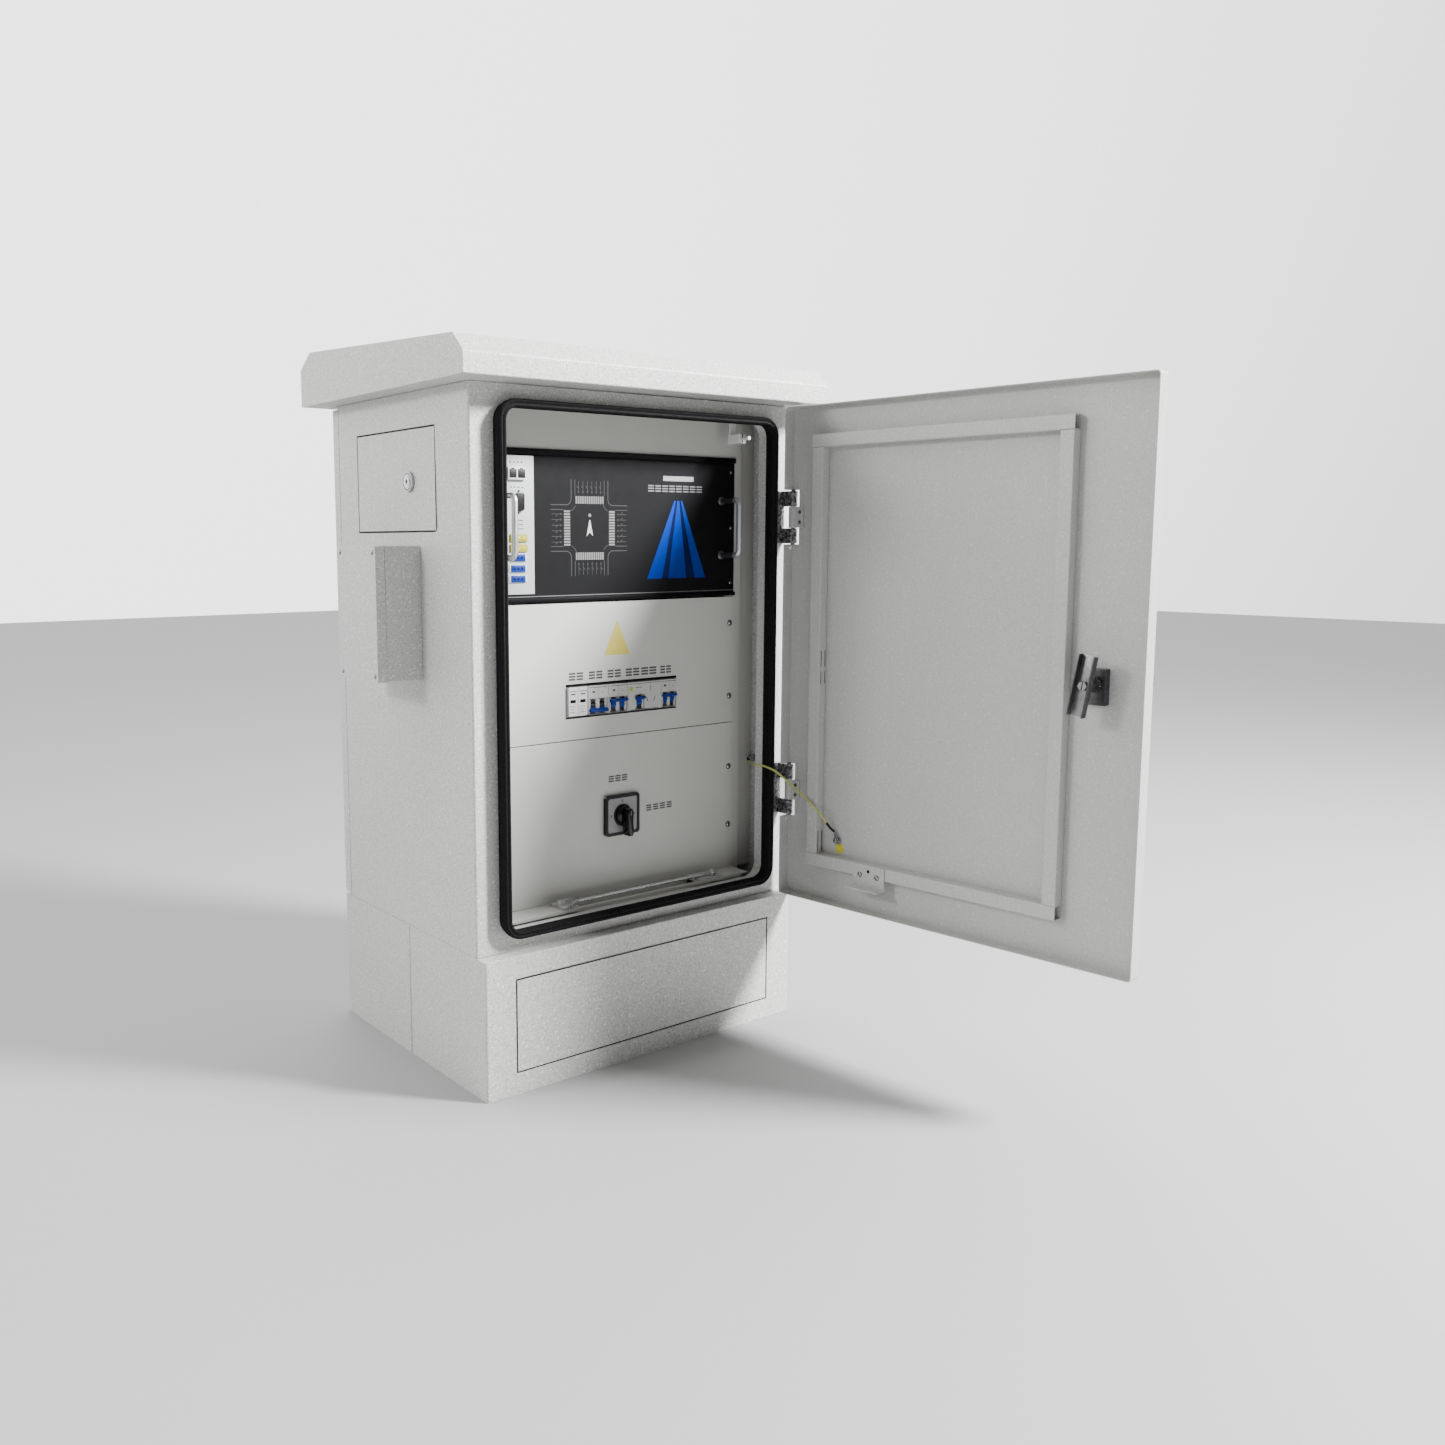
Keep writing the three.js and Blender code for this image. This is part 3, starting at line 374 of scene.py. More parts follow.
# dark ring under each screw: a painted shadow
SCREW_SHADE = galvanised("screw_painted_shadow", (0.035, 0.035, 0.036), 0.45)
RUBBER = rubber()
WHITE_PLASTIC = plastic("white_plastic", (0.66, 0.67, 0.66), 0.4)
GREY_PLASTIC = plastic("grey_plastic", (0.27, 0.28, 0.29), 0.45)
PALE_PLASTIC = plastic("pale_grey_plastic", (0.30, 0.30, 0.31), 0.45)
BLUE_PLASTIC = plastic("blue_plastic", (0.0, 0.022, 0.22), 0.4)
YELLOW_PLASTIC = plastic("yellow_plastic", (0.33, 0.28, 0.02), 0.5)
BLACK_PLASTIC = plastic("black_plastic", (0.005, 0.005, 0.0055), 0.45)
KNOB_PLASTIC = plastic("knob_gloss_plastic", (0.002, 0.002, 0.0022), 0.14, 0.05)
SLEEVE = plastic("lead_sleeve", (0.008, 0.008, 0.009), 0.5, 0.3)
MODULE_PLASTIC = plastic("module_plastic", (0.50, 0.50, 0.49), 0.42)
BRIGHT_PLASTIC = plastic("bright_white_plastic", (0.82, 0.83, 0.82), 0.35)
LEAD = lead_insulation()
GREY_INK = ink("grey_ink", (0.20, 0.20, 0.20))
PALE_INK = ink("pale_ink", (0.20, 0.20, 0.20))
WHITE_INK = ink("white_ink", (0.50, 0.50, 0.50))
LINE_INK = ink("line_ink", (0.060, 0.060, 0.060))
DARK_INK = ink("dark_ink", (0.012, 0.012, 0.013))
YELLOW_INK = ink("yellow_ink", (0.62, 0.52, 0.12))
LABEL_YELLOW = ink("label_yellow", (0.70, 0.62, 0.05))
LIME_INK = ink("lime_ink", (0.45, 0.50, 0.06))
TITLE_INK = ink("title_ink", (0.34, 0.34, 0.34))
DARK_BLUE_INK = ink("dark_blue_ink", (0.0, 0.006, 0.06))
RIM_HIGHLIGHT = ink("painted_rim_highlight", (0.20, 0.20, 0.20))
GREY_LEGEND = ink("legend_ink", (0.085, 0.085, 0.082))
FAN_INK = fan_ink()


# ---- solids, in millimetres ----
def moved(solid, matrix):
    bmesh.ops.transform(solid, verts=solid.verts[:], matrix=matrix)
    return solid


def faced_outwards(solid):
    bmesh.ops.recalc_face_normals(solid, faces=solid.faces[:])
    return solid


def round_edges(shape, edges, radius, segments):
    bmesh.ops.bevel(shape, geom=edges, offset=radius, segments=segments, affect="EDGES",
                    profile=0.5)


def block(low, high, bevel=0.4, segments=2):
    """Box between two corners, its edges rounded."""
    solid = bmesh.new()
    bmesh.ops.create_cube(solid, size=1)
    low, high = Vector(low), Vector(high)
    size = high - low
    for vert in solid.verts:
        vert.co = low + Vector((place + 0.5) * length for place, length in zip(vert.co, size))
    if bevel:
        round_edges(solid, solid.edges[:], min(bevel, 0.45 * min(size)), segments)
    return solid


def turned(profile, centre, direction, sides=32, hollow=False):
    """Surface of revolution. profile holds (radius, distance along direction from centre).

    A hollow one joins its last ring to its first. Any other is closed at both ends.
    """
    solid = bmesh.new()
    angles = [2 * pi * i / sides for i in range(sides)]
    rings = []
    for radius, along in profile:
        ring = [(radius * cos(a), radius * sin(a), along) for a in angles]
        rings.append([solid.verts.new(place) for place in (ring if radius else ring[:1])])
    for lower, upper in zip(rings, rings[1:] + rings[:1] if hollow else rings[1:]):
        join_rings(solid, lower, upper)
    for ring in () if hollow else (rings[0], rings[-1]):
        if len(ring) > 1:
            solid.faces.new(ring)
    turn = Vector(UP).rotation_difference(Vector(direction)).to_matrix().to_4x4()
    return moved(faced_outwards(solid), Matrix.Translation(centre) @ turn)


def drum(radius, start, end, centre, direction, sides=28):
    """Solid cylinder between two distances along direction from centre."""
    return turned([(0, start), (radius, start), (radius, end), (0, end)], centre, direction, sides)


def join_rings(solid, lower, upper):
    count = max(len(lower), len(upper))
    for i in range(count):
        j = (i + 1) % count
        corners = [lower[i % len(lower)], lower[j % len(lower)],
                   upper[j % len(upper)], upper[i % len(upper)]]
        unique = list(dict.fromkeys(corners))
        if len(unique) > 2:
            solid.faces.new(unique)


def plate(outline, y0, y1, bevel=0.0, segments=2):
    """Outline drawn in X and Z, from depth y0 to depth y1."""
    solid = bmesh.new()
    near = [solid.verts.new((x, y0, z)) for x, z in outline]
    far = [solid.verts.new((x, y1, z)) for x, z in outline]
    join_rings(solid, near, far)
    solid.faces.new(near)
    solid.faces.new(list(reversed(far)))
    faced_outwards(solid)
    if bevel:
        rim = [e for e in solid.edges if abs(e.verts[0].co.y - e.verts[1].co.y) < 1e-6]
        round_edges(solid, rim, bevel, segments)
    return solid


def arc(centre, radius, start, sweep=90, steps=5):
    """Points on an arc about a centre, with its angles in degrees."""
    angles = [radians(start + sweep * i / steps) for i in range(steps + 1)]
    return [(centre[0] + radius * cos(a), centre[1] + radius * sin(a)) for a in angles]


def rounded(x0, x1, z0, z1, radius, steps=5):
    """Outline of a rectangle with round corners."""
    corners = [(x1 - radius, z0 + radius, -90), (x1 - radius, z1 - radius, 0),
               (x0 + radius, z1 - radius, 90), (x0 + radius, z0 + radius, 180)]
    return [point for x, z, start in corners for point in arc((x, z), radius, start, 90, steps)]


def hoop(loops):
    """Closed ring through outlines in X and Z, each given with its depth."""
    solid = bmesh.new()
    rings = [[solid.verts.new((x, y, z)) for x, z in outline] for outline, y in loops]
    for ring, following in zip(rings, rings[1:] + rings[:1]):
        join_rings(solid, ring, following)
    return faced_outwards(solid)


def stroke(points, width):
    """Outline of a line of a given width through points in X and Z."""
    points = [Vector(p) for p in points]
    left, right = [], []
    for i, point in enumerate(points):
        near = points[max(i - 1, 0):i + 2]
        runs = [(b - a).normalized() for a, b in zip(near, near[1:])]
        run = (runs[0] + runs[-1]).normalized()
        offset = Vector((-run.y, run.x)) * width / 2 / max(0.4, run.dot(runs[0]))
        left.append(tuple(point + offset))
        right.append(tuple(point - offset))
    return left + right[::-1]


def tube(path, radius, sides=12):
    """Round bar along a path, with its own length as the first texture coordinate."""
    solid = bmesh.new()
    uv = solid.loops.layers.uv.new("UVMap")
    path = [Vector(p) for p in path]
    side = Vector((0, 0, 1)).cross(path[1] - path[0])
    side = side.normalized() if side.length > 1e-6 else Vector((1, 0, 0))
    rings, lengths = [], []
    for i, point in enumerate(path):
        run = (path[min(i + 1, len(path) - 1)] - path[max(i - 1, 0)]).normalized()
        side = (side - run * side.dot(run)).normalized()
        other = run.cross(side)
        angles = [2 * pi * k / sides for k in range(sides)]
        rings.append([solid.verts.new(point + (side * cos(a) + other * sin(a)) * radius)
                      for a in angles])
        lengths.append(lengths[-1] + (point - path[i - 1]).length if i else 0.0)
    for i in range(len(path) - 1):
        for k in range(sides):
            face = solid.faces.new([rings[i][k], rings[i][(k + 1) % sides],
                                    rings[i + 1][(k + 1) % sides], rings[i + 1][k]])
            corners = [(i, k), (i, k + 1), (i + 1, k + 1), (i + 1, k)]
            for loop, (at, turn) in zip(face.loops, corners):
                loop[uv].uv = (lengths[at] + 6 * turn / sides, turn / sides)
    solid.faces.new(rings[0][::-1])
    solid.faces.new(rings[-1])
    return faced_outwards(solid)


def catmull_rom(points, steps):
    """Centripetal curve through points, as the model's own lead follows."""
    points = [Vector(p) for p in points]
    chain = [points[0] * 2 - points[1], *points, points[-1] * 2 - points[-2]]
    spans = len(points) - 1
    curve = []
    for i in range(steps + 1):
        place = i / steps * spans
        span = min(int(place), spans - 1)
        u = place - span
        a, b, c, d = chain[span:span + 4]
        d0, d1, d2 = (sqrt((q - p).length) for p, q in ((a, b), (b, c), (c, d)))
        t1 = ((b - a) / d0 - (c - a) / (d0 + d1) + (c - b) / d1) * d1
        t2 = ((c - b) / d1 - (d - b) / (d1 + d2) + (d - c) / d2) * d1
        square = (c - b) * 3 - t1 * 2 - t2
        cube = (b - c) * 2 + t1 + t2
        curve.append(b + t1 * u + square * u ** 2 + cube * u ** 3)
    return curve


# ---- pieces ----
class Piece:
    """One object gathered from solids, each with its own material."""

    def __init__(self, name):
        self.name = name
        self.shape = bmesh.new()
        self.materials = []

    def add(self, solid, material):
        if material not in self.materials:
            self.materials.append(material)
        for face in solid.faces:
            face.material_index = self.materials.index(material)
            face.smooth = True
        scratch = bpy.data.meshes.new("scratch")
        solid.to_mesh(scratch)
        solid.free()
        self.shape.from_mesh(scratch)
        bpy.data.meshes.remove(scratch)
        return self

    def box(self, low, high, material, bevel=0.4, segments=2):
        return self.add(block(low, high, bevel, segments), material)

    def place(self, body=None, slot=None, replaces=(), sharp=38, closed=True):
        """Links the object, in metres, and ties it to its body.

        What rides on the front door is drawn on the closed door, unless closed is False.
        """
        moved(self.shape, Matrix.Scale(MM, 4) @ (turn_of(body) if closed else Matrix.Identity(4)))
        mesh = bpy.data.meshes.new(self.name)
        self.shape.to_mesh(mesh)
        self.shape.free()
        mesh.set_sharp_from_angle(angle=radians(sharp))
        for material in self.materials:
            mesh.materials.append(material)
        piece = into_scene(self.name, mesh)
        if body:
            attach(piece, body)
        if replaces:
            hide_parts(*replaces)
        return piece


def turn_of(body):
    """From the closed door to the open one, for the bodies that the front door carries."""
    return DOOR_TURN if body in ("front_door", "front_latch") else Matrix.Identity(4)


def node_box(node):
    """Low and high corner of a node's box."""
    return [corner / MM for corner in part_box(node)]


def runs_along(edge, axis):
    run = [abs(v) for v in edge.verts[1].co - edge.verts[0].co]
    return run.pop(axis) > 5 and sum(run) < 0.01


def is_outer_upright(edge):
    return runs_along(edge, 2) and edge.is_convex and abs(edge.verts[0].co.x) > HALF_WIDTH - 0.1


def runs_in_x(edge):
    return runs_along(edge, 0)


def close_body_seams(shape):
    """Makes one folded sheet of the body's wrap and its two end frames."""
    wrap_ends = (SEAM_FRONT + SEAM_GAP, SEAM_BACK - SEAM_GAP)
    for vert in shape.verts:
        for seam, end in zip((SEAM_FRONT, SEAM_BACK), wrap_ends):
            if abs(vert.co.y - seam) < 0.05:
                vert.co.y = end
    inner = [f for f in shape.faces
             if any(all(abs(v.co.y - end) < 0.05 for v in f.verts) for end in wrap_ends)]
    bmesh.ops.delete(shape, geom=inner, context="FACES")


def soften(name, nodes, material, fine=0.5, corners=(), before=None):
    """The CAD nodes' own shape with rounded edges. corners holds (test, radius) for big bends."""
    body = BODY_OF[nodes[0]]
    shape = bmesh.new()
    for node in nodes:
        shape.from_mesh(frame["nodes"][node].data)
    moved(shape, Matrix.Scale(1 / MM, 4))
    moved(shape, turn_of(body).inverted())
    bmesh.ops.remove_doubles(shape, verts=shape.verts[:], dist=0.01)
    if before:
        before(shape)
        bmesh.ops.remove_doubles(shape, verts=shape.verts[:], dist=0.01)
    bmesh.ops.dissolve_limit(shape, angle_limit=radians(1), verts=shape.verts[:],
                             edges=shape.edges[:])
    for test, radius in corners:
        bends = [e for e in shape.edges
                 if e.is_manifold and e.calc_face_angle() > 0.4 and test(e)]
        round_edges(shape, bends, radius, 4)
    edges = [e for e in shape.edges if e.is_manifold and e.calc_face_angle() > 0.6
             and e.calc_length() > 3 * fine]
    round_edges(shape, edges, fine, 2)
    piece = Piece(name).add(shape, material).place(body, SLOT_OF[nodes[0]], nodes)
    smooth = piece.modifiers.new("even_normals", "WEIGHTED_NORMAL")
    smooth.keep_sharp = True
    return piece


# ---- earth lead ----
def earth_lead():
    """Green-yellow lead from the body's stud to the door, with a sleeve at the lug."""
    points = LEAD_IN_BODY + [tuple(DOOR_TURN @ on_door(*p)) for p in LEAD_ON_DOOR]
    path = catmull_rom(points, LEAD_STEPS)
    start = int(LEAD_SLEEVE * LEAD_STEPS)
    sleeve = Piece("earth_lead_sleeve").add(tube(path[start:], LEAD_RADIUS + SLEEVE_WALL), SLEEVE)
    boot = Piece("earth_lead_boot").add(tube(path[:4], LEAD_RADIUS + SLEEVE_WALL), SLEEVE)
    pieces = [sleeve.place("front_door", "black_plastic", closed=False),
              boot.place("cabinet", "black_plastic")]
    lead = Piece("earth_lead_wire").add(tube(path, LEAD_RADIUS), LEAD)
    lead = lead.place(None, "earth_insulation", ["earth_lead"])
    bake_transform(lead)


# ---- body, roof and plinth ----
def cabinet_body():
    soften("cabinet_body", ["body_wrap", "front_frame", "rear_frame"], CABINET, 0.6,
           [(is_outer_upright, 3)], before=close_body_seams)


def roof():
    soften("roof_shell", ["roof_cap"], CABINET, 0.7, [(runs_in_x, 2.5)])


def plinth():
    bend = [(is_outer_upright, 3)]
    soften("plinth_front_shell", ["plinth_front_half"], CABINET, 0.6, bend)
    soften("plinth_rear_shell", ["plinth_rear_half"], CABINET, 0.6, bend)
    soften("plinth_panel_shell", ["plinth_access_panel"], CABINET, 0.6)


def plinth_panel_gap():
    """Black strips in the gap round the plinth's access panel: painted shade."""
    low, high = node_box("plinth_access_panel")
    out, lap = PANEL_GAP["out"], PANEL_GAP["lap"]
    wide = out + lap
    y0, y1 = PLINTH_FACE - GAP_SHADE_PROUD, PLINTH_FACE + 0.3
    gap = Piece("plinth_panel_gap")
    for z in (low.z - out, high.z - lap):
        gap.box((low.x - out, y0, z), (high.x + out, y1, z + wide), BLACK_RIM_AND_SHADE, 0)
    for x in (low.x - out, high.x - lap):
        gap.box((x, y0, low.z - out), (x + wide, y1, high.z + out), BLACK_RIM_AND_SHADE, 0)
    gap.place("cabinet", "black_plastic")


def seal_ring(name, node, face, out, profile):
    """Rubber edge seal swept round the doorway. profile holds (outwards, off the face)."""
    loops = []
    for grow, off in profile:
        outline = rounded(-OPENING["half"] - grow, OPENING["half"] + grow,
                          OPENING["bottom"] - grow, OPENING["top"] + grow,
                          OPENING["radius"] + grow, 9)
        loops.append((outline, face + out * off))
    Piece(name).add(hoop(loops), RUBBER).place("cabinet", SLOT_OF[node], [node], sharp=50)


SEAL_PROFILE = [
    (-3, 2), (-3, 10), (-5.2, 11.5), (-5.4, 15), (-4.3, 16), (-5.4, 17.4), (-4.6, 20.3),
    (-1.8, 22), (0.4, 21), (1, 20.4), (1.6, 21), (3.8, 22), (6.6, 20.3), (7.4, 17.4),
    (6.3, 16), (7.4, 15), (7.2, 11.5), (5, 10), (5, 2), (2.4, 2), (2.4, 10.3), (-0.4, 10.3),
    (-0.4, 2),
]


def seals():
    """Two seals of one section. The rear one's bead, past its grip, is a little flatter."""
    flatter = [(grow, SEAL_GRIP - 2 + 0.87 * (off - SEAL_GRIP) if off > SEAL_GRIP else off)
               for grow, off in SEAL_PROFILE]
    seal_ring("front_seal_rubber", "front_seal", BODY_FRONT, -1, SEAL_PROFILE)
    seal_ring("rear_seal_rubber", "rear_seal", BODY_BACK, 1, flatter)


# ---- fasteners ----
def dome_screw(piece, place, radius, direction=FRONT, material=SCREW, high=0.55):
    """Dome-head screw with a cross recess, on a dark ring round its foot that is a painted shadow.
    """
    r, h = radius, radius * high
    # painted shadow: a dark ring round the screw's foot
    piece.add(drum(r * 1.24, -0.1, 0.3, place, direction, 24), SCREW_SHADE)
    dome = [(r, 0.2), (r, 0.5), (r * 0.96, h * 0.45), (r * 0.8, h * 0.75), (r * 0.5, h * 0.95),
            (0, h)]
    piece.add(turned(dome, place, direction, 24), material)
    along = Vector(direction)
    up = Vector(UP)
    across = along.cross(up)
    for arm, other in ((up, across), (across, up)):
        half = arm * r * 0.42 + other * r * 0.09
        ends = (Vector(place) + along * (h * 0.6) - half, Vector(place) + along * (h * 1.02) + half)
        low, top = ([pick(pair) for pair in zip(*ends)] for pick in (min, max))
        piece.box(low, top, BLACK_PLASTIC, 0.05, 1)


def panel_screws():
    screws = Piece("panel_screws")
    for heights in PANEL_SCREWS.values():
        for z in heights:
            for x in (-PANEL_SCREW_X, PANEL_SCREW_X):
                dome_screw(screws, (x, PANEL_FACE, z), 4.1)
    for z in CONTROLLER_SCREWS:
        for x in (-PANEL_SCREW_X, PANEL_SCREW_X):
            dome_screw(screws, (x, PANEL_FACE, z), 2.3)
    screws.place("cabinet", "zinc")


# ---- controller ----
def marks(piece, outline, material, face=PANEL_FACE, height=PRINT):
    """Printed mark: a raised film on a panel's face."""
    piece.add(plate(outline, face - height, face), material)


def bar(x0, x1, z0, z1):
    return [(x0, z0), (x1, z0), (x1, z1), (x0, z1)]


def junction_arm(piece, turn):
    """One arm of the printed crossroads, drawn to the right and turned to its side."""
    j = JUNCTION
    sine, cosine = round(sin(turn)), round(cos(turn))

    def put(outline, material):
        placed = [(j["x"] + x * cosine - z * sine, j["z"] + x * sine + z * cosine)
                  for x, z in outline]
        marks(piece, placed, material)

    road, bend, far = j["road"], j["bend"], j["arm"]
    kerb = arc((road + bend, road + bend), bend, 180)
    put(stroke([(road, far), *kerb, (far, road)], 1.1), LINE_INK)
    inner = arc((road + bend, road + bend), road + bend - j["kerb"] + 4, 195, 45, 2)
    put(stroke(inner, 0.9), LINE_INK)
    for z in (-j["kerb"], j["kerb"]):
        put(stroke([(j["walk_far"] + 1, z), (far, z)], 0.9), LINE_INK)
    for i in range(13):
        z = -j["walk_half"] + i * 2 * j["walk_half"] / 12
        put(bar(j["walk_near"], j["walk_far"], z - 1.35, z + 1.35), PALE_INK)
    for i in range(6):
        z = -20.5 + 8.2 * i
        put(stroke([(j["walk_far"] + 3, z), (far - 2, z)], 0.7), LINE_INK)
        put([(j["walk_far"] + 3, z), (j["walk_far"] + 7, z + 1.7), (j["walk_far"] + 7, z - 1.7)],
            LINE_INK)
        put(stroke([(far - 13, z), (far - 9, z + 3.4)], 0.7), LINE_INK)


def controller_marks():
    """Printed crossroads, plain bars where the title stood, and a fan of three blue stripes."""
    prints = Piece("controller_marks")
    for turn in range(4):
        junction_arm(prints, turn * pi / 2)
    x, z = JUNCTION["x"], JUNCTION["z"]
    marks(prints, arc((x, z + 19), 2.6, 0, 345, 23), PALE_INK)
    marks(prints, [(x - 6, z - 12), (x, z - 6), (x + 6, z - 12), (x + 0.8, z + 12),
                   (x - 0.8, z + 12)], WHITE_INK)
    marks(prints, bar(91, 153, 878.5, 886), TITLE_INK)
    for i in range(8):
        x0 = 61 + 14.1 * i
        for low in (861.5, 865.5, 869.5):
            marks(prints, bar(x0, x0 + 11.5, low, low + 2), PALE_INK)
    top, foot, width = FAN["top"], FAN["foot"], FAN["right"] - FAN["left"]
    for (a, b), (c, d) in FAN["stripes"]:
        corners = [(c, foot), (d, foot), (b, top), (a, top)]
        stripe = [(FAN["left"] + width * share, height) for share, height in corners]
        marks(prints, stripe, FAN_INK, height=2 * PRINT)
    corners = [(0.1, foot + 1), (0.9, foot + 1), (0.56, top - 4), (0.48, top - 4)]
    ground = [(FAN["left"] + width * share, height) for share, height in corners]
    marks(prints, ground, DARK_BLUE_INK)
    prints.place("cabinet", "panel_black")


def controller_front():
    low, high = node_box("controller_front_panel")
    soften("controller_front", ["controller_front_panel"], BLACK_COAT, 0.5)
    rims = Piece("controller_rims_and_painted_lines")
    for z0, z1 in ((high.z - 8.2, high.z - 0.2), (low.z + 0.2, low.z + 6.2)):
        rims.box((low.x, low.y - 0.5, z0), (high.x, low.y + 0.2, z1), BLACK_RIM_AND_SHADE, 0.3)
    # painted highlight: a grey line above the bottom rim; painted shadow: a black line below the top
    # rim
    for z0, z1, proud, material in ((low.z + 8.5, low.z + 9.6, 0.4, RIM_HIGHLIGHT),
                                    (high.z - 12, high.z - 10.6, 0.3, BLACK_RIM_AND_SHADE)):
        rims.box((low.x + 2, PANEL_FACE - proud, z0), (high.x - 2, PANEL_FACE, z1), material, 0.1)
    rims.place("cabinet", "panel_black")


def io_strip():
    """Pale strip of sockets at the left of the controller."""
    front = PANEL_FACE - 1.8
    strip = Piece("controller_sockets")
    strip.box((-202, front, 709.5), (-152, front + 1.5, 907.5), PALE_COAT, 0.5)

    def out(x0, x1, z0, z1, height, material, bevel=0.5):
        strip.box((x0, front - height, z0), (x1, front + 0.5, z1), material, bevel)

    out(-198, -168, 873, 891, 4.5, WHITE_PLASTIC)
    for x0, x1 in ((-196.5, -184), (-182, -169.5)):
        out(x0, x1, 875.5, 888, 4.6, BLACK_PLASTIC, 0.1)
        out(x0 + 3.5, x1 - 3.5, 888, 889.6, 4.6, BLACK_PLASTIC, 0.1)
    for x in (-193, -186.5, -180, -173.5):
        out(x, x + 2, 897, 899, 0.3, DARK_INK, 0.1)
        out(x, x + 3.5, 862, 863.2, 0.2, DARK_INK, 0.05)
    strip.add(plate(rounded(-184, -170, 829, 855, 4), front - 3.5, front, 0.4), BLACK_PLASTIC)
    for z in (857.5, 826.5):
        screw = [(1.5, 0), (1.5, 1.2), (1.1, 1.6), (0, 1.7)]
        strip.add(turned(screw, (-178, front, z), FRONT, 16), DARK_STEEL)
    for z in (815, 809, 803):
        out(-191, -171, z, z + 1.2, 0.2, LINE_INK, 0.05)
    for z in (785, 770.5):
        out(-194, -165.5, z, z + 11, 2.5, YELLOW_PLASTIC)
        for x in (-191, -182.5, -174):
            out(x, x + 5, z + 3.5, z + 7.5, 2.6, LIME_INK, 0.2)
    for z in (757, 741.5, 726.5):
        out(-196, -166, z, z + 11, 1.2, WHITE_PLASTIC)
        out(-193, -169, z + 0.5, z + 10.5, 2.6, BLUE_PLASTIC)
        for x in (-190, -183.5, -177):
            out(x, x + 3.5, z + 3.5, z + 7.5, 2.7, DARK_BLUE_INK, 0.2)
    strip.place("cabinet", "white_plastic", ["controller_io_module"])


def d_handle(name, node, x):
    """Rack handle: bar bent round two corners, standing on ferrules. Legs and ferrules are a darker
    copy of the bar's metal, as painted shade.
    """
    z0, z1 = HANDLE["feet"]
    bend = HANDLE["bend"]
    y = HANDLE["out"] + bend
    handle = Piece(name)
    for z in (z0, z1):
        # painted shade: legs and ferrules darker than the grip
        handle.add(tube([(x, PANEL_FACE - 0.6, z), (x, y + 2, z)], 4.1, 16), HANDLE_LEG_SHADE)
        ferrule = [(7, 0), (7, 2), (6, 3), (4.4, 3.2)]
        handle.add(turned(ferrule, (x, PANEL_FACE - 0.3, z), FRONT, 24), HANDLE_LEG_SHADE)
    corners = arc((y, z0 + bend), bend, 270, -90, 6) + arc((y, z1 - bend), bend, 180, -90, 6)
    grip = [(y + 2.5, z0), *corners, (y + 2.5, z1)]
    handle.add(tube([(x, *place) for place in grip], 4.4, 18), ALUMINIUM)
    handle.place("cabinet", "zinc", [node])


# ---- breakers ----
def breaker_panel_marks_and_shade():
    """Plain triangle, plain bars over the modules, and black strips along the cut-out that are
    painted shadow.
    """
    prints = Piece("breaker_panel_marks_and_shade")
    marks(prints, [(-25, 612), (25, 612), (1.5, 663), (-1.5, 663)], YELLOW_INK)
    for x0, x1 in LEGENDS:
        half = (x1 - x0) / 2 - 1.2
        for low in (577.5, 582, 586.5):
            marks(prints, bar(x0, x0 + half, low, low + 2.8), GREY_LEGEND)
            marks(prints, bar(x1 - half, x1, low, low + 2.8), GREY_LEGEND)
    x0, x1 = CUTOUT["left"] - 1, CUTOUT["right"] + 1
    # painted shadow: black strips along the cut-out's top and bottom edges, the top one thicker
    for z0, z1 in ((CUTOUT["high"] - 0.2, CUTOUT["high"] + 2.7),
                   (CUTOUT["low"] - 1.4, CUTOUT["low"] + 0.2)):
        prints.box((x0, PANEL_FACE - 0.6, z0), (x1, PANEL_FACE + 1, z1), BLACK_RIM_AND_SHADE, 0.2)
    prints.box((-241, PANEL_FACE - 0.1, 486.2), (241, PANEL_FACE + 0.6, 486.9), BLACK_RIM_AND_SHADE, 0.05)
    prints.place("cabinet", "panel_white")


def surge_protector_detail():
    """Two plug-in cartridges with windows and small printed bars."""
    soften("surge_protector_case", ["surge_protector"], WHITE_PLASTIC, 0.5)
    low, high = node_box("surge_protector")
    middle = (low.x + high.x) / 2
    detail = Piece("surge_protector_detail")
    for x0 in (low.x + 0.6, middle + 0.5):
        x1 = x0 + (high.x - low.x) / 2 - 1.4
        marks(detail, bar(x0 + 2, x1 - 1, 560.8, 561.8), DARK_INK, NOSE)
        marks(detail, bar(x0 + 4, x1 - 4, 556, 557.8), DARK_INK, NOSE)
        detail.box((x0 + 3.5, NOSE - 0.5, 544), (x1 - 3.5, NOSE + 0.3, 548.6), BLACK_RIM_AND_SHADE, 0.2)
        for z, shorter in ((538, 0), (533.6, 2), (529.2, 0)):
            marks(detail, bar(x0 + 3, x1 - 5 - shorter, z, z + 0.8), GREY_LEGEND, NOSE)
    for x in (low.x - 0.1, high.x - 0.5):
        detail.box((x, NOSE - 0.35, 522), (x + 0.7, NOSE + 0.4, 568.8), BLACK_RIM_AND_SHADE, 0.1)
    detail.box((middle - 0.25, NOSE - 0.25, 523), (middle + 0.25, NOSE + 0.4, 567.5), GREY_INK, 0.05)
    detail.place("cabinet", "white_plastic")


